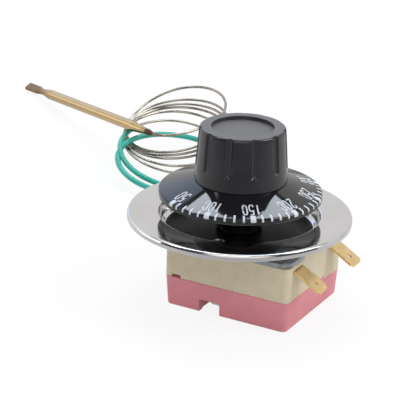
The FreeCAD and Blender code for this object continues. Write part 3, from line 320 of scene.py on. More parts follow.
def skirt_plastic():
    """Phenolic off a polished tool: nearly a black mirror with a faint ripple, with a painted grey lit look
    underneath.
    """
    base = settings().knob.polished
    ripple = ((3.5 * MM, 1.0), 0.004 * MM, 0.5)
    made, tree, shader, _ = clouded(
        "Phenolic, polished", (base, base), (7 * MM, 2.0), {"IOR": PHENOLIC_IOR}, (0.045, 0.085), ripple
    )
    underside = (-0.3, 0.0)
    facing = facing_up(tree)
    # Painted light: faces turned down get a grey tint, a lit look that the chrome below mirrors
    cover(tree, shader, blend(tree, facing, 1.0, 0.0, underside), linear("#505053"))
    feed(tree, shader, {"Specular IOR Level": blend(tree, facing, 0.35, 0.5, underside)})
    return made


def scale_print():
    """Screen printed ink: matt, a little thin at its edges."""
    tints = shades(settings().knob.print_colour, 0.86, 1.0)
    return clouded("Screen printing ink", tints, (0.25 * MM, 2.0), {"Roughness": 0.5})[0]


def bright_chrome():
    """Chrome on pressed and buffed sheet, with its faint waves; the dish's floor is painted near-black and dull
    as painted shade.
    """
    tints = shades(settings().housing.chrome, 0.95, 1.0)
    waves = ((5 * MM, 1.5), 0.004 * MM, 0.6)
    made, tree, shader, place = clouded(
        "Chrome plate on pressed steel", tints, (9 * MM, 3.0), METAL, (0.05, 0.10), waves
    )
    # Painted shade: the dish's floor inside 23 mm gets a near-black, dull, non-metal finish in place of the
    # dark that it mirrors
    inside = blend(tree, from_axis(tree, place), 1.0, 0.0, (23.0 * MM, 23.2 * MM))
    above = blend(tree, along(tree, place, UP), 0.0, 1.0, (0.2 * MM, 0.4 * MM))
    black = add(tree, "ShaderNodeMath", {0: inside, 1: above}, operation="MULTIPLY").outputs[0]
    cover(tree, shader, black, linear("#19191b"), 0.22)
    painted_shade_look = {"Metallic": (1.0, 0.0), "Specular IOR Level": (0.5, 0.07)}
    feed(tree, shader, {key: blend(tree, black, *ends, SHARE) for key, ends in painted_shade_look.items()})
    return made


def zinc_plate():
    """Zinc plate on rolled steel: cool, half dull, with a cloudy surface."""
    tints = shades(settings().housing.zinc, 0.72, 1.06)
    grain = ((0.3 * MM, 2.0), 0.008 * MM, 0.6)
    return clouded("Zinc plate on steel sheet", tints, (2.2 * MM, 4.0, 0.62), METAL, (0.40, 0.24), grain)[0]


def fired_ceramic(name, base, speck, speck_share, sheen):
    """Pressed and fired steatite: dense, faintly mottled, with tiny dark inclusions."""
    rough = (sheen, sheen + 0.10)
    grain = ((0.35 * MM, 3.0), 0.018 * MM, 0.55)
    made, tree, shader, place = clouded(
        name, shades(base, 0.95, 1.04), (5 * MM, 4.0, 0.6), {"IOR": STEATITE_IOR}, rough, grain
    )
    dots = blend(tree, grains(tree, place, 0.7 * MM, 1.0), 0.0, 1.0, (speck_share, speck_share + 0.05))
    cover(tree, shader, dots, shades(base, speck)[0])
    return made


def beige_ceramic():
    """Unglazed steatite in its own warm beige, with a little more shine than the base."""
    return fired_ceramic("Steatite, beige", settings().housing.beige, 0.55, 0.70, 0.38)


def pink_ceramic():
    """Steatite stained pink through and through: duller, with fewer specks."""
    return fired_ceramic("Steatite, pink", settings().housing.pink, 0.72, 0.73, 0.46)


def rolled_brass():
    """Brass strip: rolling lines along the blade and a light tarnish."""
    tints = shades(settings().housing.brass, 0.88, 1.04)
    lines = (0.25 * MM, 2.0, 0.5, (0.04, 1.0, 0.1))
    made, tree, shader, place = clouded(
        "Brass strip, rolled", tints, (2.5 * MM, 3.0, 0.6), METAL, None, (lines, 0.002 * MM, 0.5)
    )
    feed(tree, shader, {"Roughness": blend(tree, grains(tree, place, *lines), 0.24, 0.34)})
    return made


def capillary_metal():
    """Drawn copper alloy tube, tinned: warm silver, straw coloured where the brazing heated it."""
    tints = shades(settings().capillary.metal, 0.88, 1.06)
    waves = ((3 * MM, 1.0), 0.003 * MM, 0.4)
    made, tree, shader, place = clouded(
        "Drawn capillary tube", tints, (8 * MM, 3.0, 0.6), METAL, (0.20, 0.28), waves
    )
    links = {0: place, 1: BULB_NOSE}
    from_joint = add(tree, "ShaderNodeVectorMath", links, operation="DISTANCE").outputs["Value"]
    cover(tree, shader, blend(tree, from_joint, 1.0, 0.0, (1 * MM, 8 * MM)), linear("#8f6f55"))
    return made


def sleeve_plastic():
    """Extruded insulating sleeve: soft plastic with a smooth, slightly milky skin."""
    milky = {
        "IOR": SLEEVE_IOR,
        "Subsurface Weight": 0.15,
        "Subsurface Radius": (0.3, 0.6, 0.5),
        "Subsurface Scale": 0.8 * MM,
    }
    tints = shades(settings().capillary.green, 0.9, 1.12)
    waves = ((4 * MM, 1.0), 0.010 * MM, 0.4)
    return clouded("Extruded sleeving", tints, (7 * MM, 2.0), milky, (0.26, 0.36), waves)[0]


def bulb_metal():
    """Drawn copper alloy tube: smooth and bright, with a dull tail and a browned nose."""
    tints = shades(settings().capillary.copper, 0.93, 1.03)
    waves = ((4 * MM, 1.0), 0.004 * MM, 0.4)
    made, tree, shader, place = clouded(
        "Drawn bulb tube", tints, (5 * MM, 4.0, 0.6), METAL, (0.20, 0.26), waves
    )
    line = BULB_NOSE - BULB_TAIL
    from_tail = add(tree, "ShaderNodeVectorMath", {0: place, 1: BULB_TAIL}, operation="SUBTRACT").outputs[0]
    reached = along(tree, from_tail, line / line.length_squared)
    cover(tree, shader, blend(tree, reached, 1.0, 0.0, (0.10, 0.24)), linear("#93785a"), 0.28)
    cover(tree, shader, blend(tree, reached, 0.0, 1.0, (0.92, 1.0)), linear("#7b5236"))
    return made


def brazing():
    """Brazed joint: oxidised brown with a grainy skin."""
    tints = (linear("#35221a"), linear("#6d4a33"))
    grain = (0.8 * MM, 4.0, 0.7)
    oxide = {"Metallic": 0.6, "Roughness": 0.48}
    return clouded("Brazing, oxidised", tints, grain, oxide, None, (grain, 0.05 * MM, 0.8))[0]


def machined(name, code, low, high):
    """Turned or stamped metal with fine tool marks."""
    tints = shades(linear(code), 0.85, 1.0)
    marks = ((0.15 * MM, 2.0, 0.5, (1.0, 1.0, 0.15)), 0.006 * MM, 0.5)
    return clouded(name, tints, (2 * MM, 3.0), METAL, (low, high), marks)[0]


def placed(name, data):
    """A new object in the scene."""
    made = bpy.data.objects.new(name, data)
    bpy.context.scene.collection.objects.link(made)
    return made


def new_piece(name, mesh, finish, body, smooth=35.0):
    """An object for a finished mesh, with its finish and the body that it moves with."""
    if not mesh.polygons:
        raise RuntimeError("The piece " + name + " has no faces")
    piece = placed(name, mesh)
    mesh.materials.clear()
    mesh.materials.append(finish)
    mesh.polygons.foreach_set("use_smooth", [True] * len(mesh.polygons))
    mesh.set_sharp_from_angle(angle=math.radians(smooth))
    # Large flat faces keep their own normals, so that mirrors stay flat beside a rounding
    evener = piece.modifiers.new("Even normals", "WEIGHTED_NORMAL")
    evener.keep_sharp = True
    piece.data = evaluated_mesh(piece)
    piece.modifiers.clear()
    bpy.data.meshes.remove(mesh)
    piece.data.name = name
    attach(piece, body)
    return piece


def mesh_of(name, build):
    """A mesh from a bmesh that build fills, with its faces pointing outwards."""
    work = bmesh.new()
    build(work)
    bmesh.ops.remove_doubles(work, verts=work.verts, dist=WELD)
    bmesh.ops.recalc_face_normals(work, faces=work.faces)
    return written(name, work)


def evaluated_mesh(piece):
    """The plain mesh of an object with its modifiers, or of a curve."""
    bpy.context.view_layer.update()
    graph = bpy.context.evaluated_depsgraph_get()
    return bpy.data.meshes.new_from_object(piece.evaluated_get(graph), depsgraph=graph)


# Points on a rounding, and the share of its corner's shorter side that it may take up
ARC_STEPS = 5
ARC_REACH = 0.48
# Sides of the large turned pieces
ROUND_SIDES = 256


def rounded(corners):
    """An open outline in metres from (radius, height, rounding) corners in millimetres."""
    out = []
    for i, (r, z, bend) in enumerate(corners):
        here = Vector((r * MM, z * MM))
        if not bend:
            out.append(here)
            continue
        back, ahead = [Vector((x * MM, y * MM)) - here for x, y, _ in (corners[i - 1], corners[i + 1])]
        reach = bend * MM / math.tan(back.angle(ahead) / 2)
        reach = min(reach, ARC_REACH * back.length, ARC_REACH * ahead.length)
        start = here + back.normalized() * reach
        end = here + ahead.normalized() * reach
        for k in range(ARC_STEPS + 1):
            t = k / ARC_STEPS
            out.append(start * (1 - t) ** 2 + here * 2 * t * (1 - t) + end * t**2)
    return out


def lathe(work, outline, sides, closed=False):
    """Turns an outline of (radius, height) about Z; a radius of zero closes to one point."""
    rings = []
    for r, z in outline:
        turns = [2 * math.pi * k / sides for k in range(sides if r > WELD else 1)]
        rings.append([work.verts.new((r * math.cos(turn), r * math.sin(turn), z)) for turn in turns])
    stitch(work, rings + rings[:1] if closed else rings)


def stitch(work, rings):
    """Faces from each ring to the next; a ring may be a single point."""
    for first, second in zip(rings, rings[1:]):
        sides = max(len(first), len(second))
        for k in range(sides):
            n = (k + 1) % sides
            corners = [(first, k), (second, k), (second, n), (first, n)]
            work.faces.new(list(dict.fromkeys(ring[i % len(ring)] for ring, i in corners)))


def view_directions():
    """Right and away from the camera, both level."""
    turn = VIEW_AZIMUTH
    return Vector((math.cos(turn), math.sin(turn), 0)), Vector((-math.sin(turn), math.cos(turn), 0))


def on_table(right_of, away, height):
    """A place by how far right and how far away it lies in the camera's view, and its height."""
    right, ahead = view_directions()
    return right * right_of + ahead * away + UP * height


def turn_place(turn):
    """A point of the coil: its rows are joined by straight changes from one to the next."""
    for low, high in zip(TURNS, TURNS[1:]):
        if turn <= high[0]:
            break
    share = (turn - low[0]) / (high[0] - low[0])
    away, height, tilt, roll, radius = [a + (b - a) * share for a, b in zip(low[1:], high[1:])]
    right, ahead = view_directions()
    across = right * math.cos(math.radians(roll)) + UP * math.sin(math.radians(roll))
    back = ahead * math.cos(math.radians(tilt)) + across.cross(ahead) * math.sin(math.radians(tilt))
    # The smooth curve runs inside its points, so they stand out by as much
    radius *= 2 / (1 + math.cos(math.pi / POINTS_PER_TURN))
    angle = -math.pi / 2 - 2 * math.pi * turn
    centre = on_table(TURNS_RIGHT, away, height)
    return centre + across * radius * math.cos(angle) + back * radius * math.sin(angle)


def capillary_route():
    """The control points from the notch in the base, round the coil and into the bulb."""
    points = [Vector(p) for p in LEAD]
    steps = round(TURNS[-1][0] * POINTS_PER_TURN)
    points += [turn_place(i / POINTS_PER_TURN) for i in range(steps + 1)]
    points += [on_table(*p) for p in TAIL_LEAD]
    # It comes in along the bulb's line and ends just inside the nose
    line = (BULB_NOSE - BULB_TAIL).normalized()
    return points + [BULB_NOSE + line * 4 * MM, BULB_NOSE - line * 1 * MM]


def smooth_curve(name, points):
    """One open spline through the route's control points."""
    data = bpy.data.curves.new(name, "CURVE")
    data.dimensions = "3D"
    data.resolution_u = 8
    spline = data.splines.new("NURBS")
    spline.points.add(len(points) - 1)
    for point, place in zip(spline.points, points):
        point.co = (*place, 1.0)
    spline.order_u = 3
    spline.use_endpoint_u = True
    return data


def centreline(curve_object):
    """The ordered points of a curve that has no bevel yet."""
    mesh = evaluated_mesh(curve_object)
    points = [v.co.copy() for v in mesh.vertices]
    bpy.data.meshes.remove(mesh)
    return points


def tube_rings(work, points, radii):
    """Rings carried along a line, with a radius for each of its points."""
    side = (points[1] - points[0]).orthogonal().normalized()
    rings = []
    for i, (place, radius) in enumerate(zip(points, radii)):
        ahead = (points[min(i + 1, len(points) - 1)] - points[max(i - 1, 0)]).normalized()
        side = (side - ahead * side.dot(ahead)).normalized()
        other = ahead.cross(side)
        turns = [2 * math.pi * k / SLEEVE_SIDES for k in range(SLEEVE_SIDES)]
        ring = [place + (side * math.cos(turn) + other * math.sin(turn)) * radius for turn in turns]
        rings.append([work.verts.new(point) for point in ring])
    return rings


def sleeve_mesh(line):
    """The sleeve over the first stretch: from inside the wall notch to under the bulb, open at both ends."""
    values = settings().capillary
    start = next(i for i, p in enumerate(line) if p.y > SLEEVE_START_Y)
    joint = turn_place(0.0)
    first_turn = min(range(len(line)), key=lambda i: (line[i] - joint).length)
    covered = values.sleeve_turns * 2 * math.pi * TURNS[0][5]
    end = first_turn
    while covered > 0:
        covered -= (line[end + 1] - line[end]).length
        end += 1
    points = line[start : end + 1]
    outer = values.sleeve / 2
    inner = values.capillary / 2 + SLEEVE_SLACK

    def build(work):
        # Soft tube is never quite even, and its cut ends draw in a little
        skin = [outer * (1 + 0.02 * noise.noise(p * 90)) for p in points]
        skin[0] = skin[-1] = outer * 0.96
        outside = tube_rings(work, points, skin)
        inside = tube_rings(work, points, [inner] * len(points))
        for rings in (outside, inside, (outside[0], inside[0]), (outside[-1], inside[-1])):
            stitch(work, rings)

    return mesh_of("capillary_sleeving", build)


# Where the sleeve starts, inside the notch in the base's back wall
SLEEVE_START_Y = 16.5 * MM
# Room between the tube and the sleeve
SLEEVE_SLACK = 0.05 * MM
SLEEVE_SIDES = 20
# The brazed collar, and its radius at the bulb and at the capillary
FERRULE_LENGTH = 4.0 * MM
FERRULE_RADIUS = 1.12 * MM
FERRULE_NOSE = 0.56 * MM
FERRULE_STEPS = 16


def bulb_place():
    """Turns what is drawn along Z from the tail onto the bulb's line."""
    line = (BULB_NOSE - BULB_TAIL).normalized()
    turn = UP.rotation_difference(line)
    return Matrix.Translation(BULB_TAIL) @ turn.to_matrix().to_4x4()


def ferrule_mesh():
    """The brazed collar: lumpy where the filler ran."""
    base = (BULB_NOSE - BULB_TAIL).length - FERRULE_LENGTH
    outline = []
    for k in range(FERRULE_STEPS + 1):
        share = k / FERRULE_STEPS
        r = FERRULE_RADIUS * (1 - share) ** 0.8 + FERRULE_NOSE * share**0.6
        outline.append((r, base - 0.6 * MM + (FERRULE_LENGTH + 0.5 * MM) * share))
    outline = [(0.0, outline[0][1] + 0.1 * MM)] + outline + [(0.0, outline[-1][1])]

    def build(work):
        lathe(work, outline, 32)
        for vert in work.verts:
            vert.co.xy *= 1 + 0.07 * noise.noise(vert.co * 900)

    mesh = mesh_of("bulb_brazing", build)
    mesh.transform(bulb_place())
    return mesh


class ThermostatCapillary(bpy.types.Operator):
    """Lays the capillary as one smooth tube, slips the sleeve over its start and adds the bulb"""

    bl_idname = "thermostat.capillary"
    bl_label = "Capillary, Sleeve and Bulb"

    def execute(self, context):
        values = settings().capillary
        points = capillary_route()
        data = smooth_curve("capillary_tube", points)
        tube = placed("capillary_tube", data)
        line = centreline(tube)
        data.bevel_depth = values.capillary / 2
        data.bevel_resolution = 4
        data.use_fill_caps = True
        data.materials.append(capillary_metal())
        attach(tube, "housing")
        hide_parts("capillary_lead", "capillary_coil", "capillary_end")
        sleeve = new_piece(
            "capillary_sleeving", sleeve_mesh(line), sleeve_plastic(), "housing"
        )
        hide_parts("capillary_sleeve", "sleeve_coil")
        finish_node("sensing_bulb", bulb_metal())
        ferrule = new_piece("bulb_brazing", ferrule_mesh(), brazing(), "housing", 60.0)
        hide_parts("bulb_ferrule")
        return {"FINISHED"}


def copy_tree():
    """Node group that copies a shape along a row and round Z, and joins the copies into one mesh."""
    tree = bpy.data.node_groups.get("Copies in a row or ring")
    if tree:
        return tree
    tree = bpy.data.node_groups.new("Copies in a row or ring", "GeometryNodeTree")
    sockets = {
        "Shape": "Geometry",
        "Copies": "Int",
        "Step": "Vector",
        "Turn": "Float",
        "Start": "Float",
        "Finish": "Material",
    }
    for name, kind in sockets.items():
        tree.interface.new_socket(name, in_out="INPUT", socket_type="NodeSocket" + kind)
    tree.interface.new_socket("Joined", in_out="OUTPUT", socket_type="NodeSocketGeometry")
    given = add(tree, "NodeGroupInput").outputs
    index = add(tree, "GeometryNodeInputIndex").outputs[0]
    place = add(tree, "ShaderNodeVectorMath", {0: given["Step"], "Scale": index}, operation="SCALE")
    points = add(tree, "GeometryNodePoints", {"Count": given["Copies"], "Position": place.outputs[0]})
    spun = {0: index, 1: given["Turn"], 2: given["Start"]}
    angle = add(tree, "ShaderNodeMath", spun, operation="MULTIPLY_ADD")
    facing = add(tree, "ShaderNodeCombineXYZ", {"Z": angle.outputs[0]})
    links = {"Points": points.outputs[0], "Instance": given["Shape"], "Rotation": facing.outputs[0]}
    copies = add(tree, "GeometryNodeInstanceOnPoints", links)
    joined = add(tree, "GeometryNodeRealizeInstances", {"Geometry": copies.outputs[0]})
    links = {"Geometry": joined.outputs[0], "Material": given["Finish"]}
    painted = add(tree, "GeometryNodeSetMaterial", links)
    add(tree, "NodeGroupOutput", {"Joined": painted.outputs[0]})
    return tree


def repeated(mesh, copies, finish, step=(0.0, 0.0, 0.0), turn=0.0, start=0.0):
    """A plain mesh of copies of a mesh, in a row or round Z."""
    holder = placed(mesh.name, mesh)
    tree = copy_tree()
    maker = holder.modifiers.new("Copies", "NODES")
    maker.node_group = tree
    values = {"Copies": copies, "Step": step, "Turn": turn, "Start": start, "Finish": finish}
    for item in tree.interface.items_tree:
        if item.in_out == "INPUT" and item.name in values:
            maker[item.identifier] = values[item.name]
    holder.update_tag()
    made = evaluated_mesh(holder)
    bpy.data.objects.remove(holder)
    return made


def merged(name, meshes):
    """Several meshes as one."""
    work = bmesh.new()
    for mesh in meshes:
        work.from_mesh(mesh)
    return written(name, work)


def written(name, work):
    """The mesh that a bmesh holds; the bmesh is freed."""
    mesh = bpy.data.meshes.new(name)
    work.to_mesh(mesh)
    work.free()
    return mesh


def cut_away(mesh, cutters):
    """Takes the cutters' volume out of a mesh."""
    holder = placed(mesh.name, mesh)
    tools = []
    for cutter in cutters:
        tool = placed("cutter", cutter)
        tools.append(tool)
        saw = holder.modifiers.new("Cut", "BOOLEAN")
        saw.operation = "DIFFERENCE"
        saw.solver = "EXACT"
        saw.object = tool
    made = evaluated_mesh(holder)
    for piece in (holder, *tools):
        bpy.data.objects.remove(piece)
    return made


def drum(radius, low, high, y):
    """A closed cylinder, for cutting."""

    def build(work):
        lathe(work, ((0.0, low), (radius, low), (radius, high), (0.0, high)), 48)
        bmesh.ops.translate(work, verts=work.verts, vec=(0.0, y, 0))

    return mesh_of("drum", build)


def slab(low, high):
    """A closed box, for cutting."""

    def build(work):
        bmesh.ops.create_cube(work, size=1.0)
        bmesh.ops.scale(work, verts=work.verts, vec=Vector(high) - Vector(low))
        bmesh.ops.translate(work, verts=work.verts, vec=(Vector(high) + Vector(low)) / 2)

    return mesh_of("slab", build)


# Bezel outline in millimetres: (radius, height, rounding), from its hole round and back to it
BEZEL_OUTLINE = (
    (6.2, 0.0, 0.0), (6.2, 0.6, 0.25), (23.2, 0.6, 0.8), (24.2, 1.6, 1.0),
    (25.0, 3.9, 0.6), (25.25, 5.5, 0.6), (33.9, 5.5, 0.4), (34.75, 5.42, 0.5),
    (35.0, 4.7, 0.5), (35.0, 3.5, 0.2), (34.4, 3.5, 0.2), (34.4, 4.9, 0.4),
    (25.85, 4.9, 0.5), (25.55, 3.8, 0.6), (24.8, 1.0, 0.8), (23.62, 0.0, 0.5),
    (6.2, 0.0, 0.0),
)


SCREW_HOLE_RADIUS = 2.25 * MM
SCREW_HOLE_SPACING = 28.0 * MM


class ThermostatBezel(bpy.types.Operator):
    """Presses the chromed bezel: a dish with two screw holes, a rounded shoulder and a rolled rim"""

    bl_idname = "thermostat.bezel"
    bl_label = "Bezel"

    def execute(self, context):
        outline = rounded(BEZEL_OUTLINE)[:-1]
        plate = mesh_of("bezel_pressed", lambda work: lathe(work, outline, ROUND_SIDES, closed=True))
        holes = [drum(SCREW_HOLE_RADIUS, -1 * MM, 2 * MM, side * SCREW_HOLE_SPACING / 2) for side in (-1, 1)]
        mesh = cut_away(plate, holes)
        piece = new_piece("bezel_pressed", mesh, bright_chrome(), "housing", 30.0)
        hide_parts("bezel")
        return {"FINISHED"}


# Skirt outline in millimetres, from the foot of its sleeve out to the rim and back over the cone
SKIRT_OUTLINE = (
    (5.55, 1.3, 0.0), (7.25, 1.3, 0.3), (7.25, 15.1, 0.6), (14.1, 15.1, 0.6),
    (23.8, 11.67, 0.3), (23.8, 11.0, 0.15), (25.4, 11.0, 0.25), (25.4, 12.68, 0.28),
    (25.05, 13.05, 0.24), (14.1, 16.7, 0.3), (5.55, 16.7, 0.0),
)


def skirt_outline():
    """The skirt's outline, with its rim moved out to the radius that is set."""
    wider = (settings().knob.skirt - 25.4 * MM) / MM
    return rounded([(r + wider if r > 20 else r, z, bend) for r, z, bend in SKIRT_OUTLINE])


class ThermostatSkirt(bpy.types.Operator):
    """Moulds the polished dial skirt: a thin cone on a sleeve"""

    bl_idname = "thermostat.skirt"
    bl_label = "Dial Skirt"

    def execute(self, context):
        outline = skirt_outline()
        mesh = mesh_of("skirt_moulded", lambda work: lathe(work, outline, ROUND_SIDES, closed=True))
        piece = new_piece("skirt_moulded", mesh, skirt_plastic(), "knob", 40.0)
        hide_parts("dial_skirt")
        return {"FINISHED"}


def printed_side():
    """The cone's outline as rows of (distance inwards from the rim's upper corner, place, outward)."""
    outline = skirt_outline()
    rim = max(range(len(outline)), key=lambda i: (outline[i].x + outline[i].y * 0.8, i))
    start = next(i for i, p in enumerate(outline) if p.y > 11.3 * MM and p.x > 24 * MM)
    end = next(i for i in range(rim, len(outline)) if outline[i].x < 15 * MM)
    points = [outline[i] for i in range(start, end + 1)]
    points.insert(0, Vector((points[0].x, 11.4 * MM)))
    rows = []
    travelled = 0.0
    for i, point in enumerate(points):
        if i:
            travelled += (point - points[i - 1]).length
        ahead = points[min(i + 1, len(points) - 1)] - points[max(i - 1, 0)]
        outward = Vector((ahead.y, -ahead.x)).normalized()
        rows.append((travelled, point, outward))
    zero = next(s for s, p, outward in rows if (p - outline[rim]).length < 1e-9)
    return [(s - zero, p, outward) for s, p, outward in rows]


def on_skirt(rows, angle, across, reach, lift):
    """A point on the cone: across runs clockwise in metres, reach inwards from the rim's corner."""
    for low, high in zip(rows, rows[1:]):
        if reach <= high[0]:
            break
    share = (reach - low[0]) / (high[0] - low[0])
    place = low[1] + (high[1] - low[1]) * share
    outward = (low[2] + (high[2] - low[2]) * share).normalized()
    place = place + outward * lift
    turn = angle - across / place.x
    return Vector((place.x * math.cos(turn), place.x * math.sin(turn), place.y))


INK_LIFT = 0.035 * MM
INK_DEPTH = 0.06 * MM


def ink_band(work, rows, angle, edges):
    """A closed strip of ink between pairs of (across, reach) points, one on each of its edges."""
    rings = []
    for left, right in edges:
        corners = ((*left, INK_LIFT), (*right, INK_LIFT), (*right, -INK_DEPTH), (*left, -INK_DEPTH))
        rings.append([work.verts.new(on_skirt(rows, angle, *corner)) for corner in corners])
    stitch(work, rings)
    work.faces.new(rings[0])
    work.faces.new(rings[-1])


# Ticks: how far they fold over the rim, and how long and how deep the rounding of their inner end is
TICK_FOLD = -0.75 * MM
TICK_ROUND = 0.15 * MM
TICK_NARROWER = 0.12 * MM
TICK_STEPS = 28


def tick_mesh(width):
    """A tick on the world's X axis, folded over the rim's bevel and round at its inner end."""
    end = settings().scale.tick_length
    edges = []
    for i in range(TICK_STEPS + 1):
        reach = TICK_FOLD + (end - TICK_FOLD) * i / TICK_STEPS
        turned = max(0.0, 1 - (end - reach) / TICK_ROUND)
        half = width / 2 - TICK_NARROWER * (1 - math.sqrt(max(0.0, 1 - turned**2)))
        edges.append(((-half, reach), (half, reach)))
    rows = printed_side()
    return mesh_of("tick", lambda work: ink_band(work, rows, 0.0, edges))


# Strokes of the digits in a box one wide and one high; a point written three times is a hard corner
DIGIT_STROKES = {
    "1": ((0.22, 0.80), (0.22, 0.80), (0.48, 0.88), (0.60, 1.0), (0.60, 1.0), (0.60, 1.0), (0.60, 0.0)),
    "2": (
        (0.03, 0.76), (0.10, 1.0), (0.55, 1.04), (0.97, 0.92), (0.96, 0.64), (0.62, 0.42), (0.14, 0.20),
        (0.02, 0.0), (0.02, 0.0), (0.02, 0.0), (1.0, 0.0),
    ),
    "3": (
        (0.03, 0.82), (0.12, 1.02), (0.62, 1.04), (0.96, 0.86), (0.92, 0.60), (0.50, 0.53), (0.36, 0.53),
        (0.36, 0.53), (0.50, 0.53), (0.96, 0.48), (1.02, 0.20), (0.80, -0.03), (0.20, -0.04), (0.0, 0.18),
    ),
    "5": (
        (0.94, 1.0), (0.94, 1.0), (0.12, 1.0), (0.12, 1.0), (0.12, 1.0), (0.06, 0.52), (0.06, 0.52),
        (0.06, 0.52), (0.30, 0.64), (0.84, 0.64), (1.04, 0.40), (0.98, 0.08), (0.62, -0.05), (0.12, -0.02),
        (0.0, 0.18),
    ),
}
# How often the corners of a digit are cut, and how close its points may lie
DIGIT_CUTS = 3
DIGIT_NEAREST = 0.012
# The nought: points round it, and how full its corners are
NOUGHT_STEPS = 40
NOUGHT_FULL = 0.62


def digit_strokes(digit):
    """The digit's middle line, with its curves drawn smooth."""
    if digit == "0":
        turns = [2 * math.pi * k / NOUGHT_STEPS for k in range(NOUGHT_STEPS + 1)]
        sides = [(math.cos(turn), math.sin(turn)) for turn in turns]
        return [Vector([0.5 + 0.5 * math.copysign(abs(v) ** NOUGHT_FULL, v) for v in side]) for side in sides]
    points = [Vector(p) for p in DIGIT_STROKES[digit]]
    for _ in range(DIGIT_CUTS):
        smooth = [points[0]]
        for a, b in zip(points, points[1:]):
            smooth += [a * 0.75 + b * 0.25, a * 0.25 + b * 0.75]
        points = smooth + [points[-1]]
    kept = points[:1]
    for point in points[1:]:
        if (point - kept[-1]).length > DIGIT_NEAREST:
            kept.append(point)
    return kept


def number_mesh(text, angle):
    """A printed number with the tops of its digits towards the rim."""
    values = settings().scale
    rows = printed_side()
    half = values.stroke / 2
    wide = values.digit_width - 2 * half
    high = values.digit_height - 2 * half
    top = values.tick_length + values.digit_gap

    def build(work):
        for place, digit in enumerate(text):
            middle = (place - (len(text) - 1) / 2) * values.digit_pitch
            strokes = digit_strokes(digit)
            line = [Vector((middle + (p.x - 0.5) * wide, half + (1 - p.y) * high)) for p in strokes]
            closed = (line[0] - line[-1]).length < WELD
            before = line[-2 if closed else 0]
            after = line[1 if closed else -1]
            edges = []
            for back, point, ahead in zip([before] + line, line, line[1:] + [after]):
                way = (ahead - back).normalized()
                side = Vector((-way.y, way.x)) * half
                edges.append([(p.x, top + p.y) for p in (point + side, point - side)])
            ink_band(work, rows, angle, edges)

    return mesh_of("number", build)


class ThermostatScale(bpy.types.Operator):
    """Prints the scale on the skirt: copied ticks and the numbers"""

    bl_idname = "thermostat.scale"
    bl_label = "Scale Print"

    def execute(self, context):
        values = settings().scale
        ink = scale_print()
        number_turn = math.radians(values.spacing)
        tick_turn = number_turn / values.ticks_per_step
        first = math.radians(values.start)
        steps = values.numbers - 1
        thin = repeated(
            tick_mesh(values.tick_width), values.ticks_per_step - 1, ink, turn=tick_turn, start=tick_turn
        )
        thin = repeated(thin, steps, ink, turn=number_turn, start=first)
        bold = repeated(tick_mesh(values.bold_width), values.numbers, ink, turn=number_turn, start=first)
        parts = [thin, bold]
        for i in range(values.numbers):
            parts.append(number_mesh(str(values.first + i * values.step), first + i * number_turn))
        new_piece("scale_print", merged("scale_print", parts), ink, "knob", 30.0)
        return {"FINISHED"}


def grip_wall(values, angle, height):
    """Radius of the grip's side, with its flutes cut in and their edges eased."""
    slope = (values.grip_bottom - values.grip_top) / (GRIP_HEIGHT - GRIP_FOOT)
    side = values.grip_bottom - slope * (min(height, GRIP_HEIGHT) - GRIP_FOOT)
    rise = max(0.0, height - GRIP_HEIGHT + values.grip_edge)
    rounding = values.grip_edge - math.sqrt(max(0.0, values.grip_edge**2 - rise**2))
    pitch = 2 * math.pi / values.flutes
    offset = (angle - FLUTE_START + pitch / 2) % pitch - pitch / 2
    across = side * math.sin(offset)
    below = max(0.0, FLUTE_END + values.flute_radius - height)
    room = values.flute_radius**2 - across**2 - below**2
    if room <= 0:
        return side - rounding
    groove = side - values.flute_depth + values.flute_radius - math.sqrt(room)
    side -= rounding
    share = max(FLUTE_EASE - abs(side - groove), 0.0) / FLUTE_EASE
    return min(side, groove) - share * share * FLUTE_EASE / 4


GRIP_FOOT = 16.7 * MM
GRIP_HEIGHT = 33.5 * MM
FLUTE_START = math.radians(-46.7)
FLUTE_END = 21.0 * MM
FLUTE_EASE = 0.10 * MM
# Hidden underside of the grip in millimetres: up inside the wall, round the webs' room and the hub
GRIP_INSIDE = (
    (12.7, 16.7), (12.7, 29.8), (12.2, 30.3), (6.0, 30.3), (5.5, 29.8),
    (5.5, 6.3), (5.2, 6.0), (3.05, 6.0), (3.05, 25.2),
)
# Smooth roundings: how many steps a quarter round takes, and how wide the recess's lip is
EDGE_STEPS = 8
LIP = 0.14 * MM


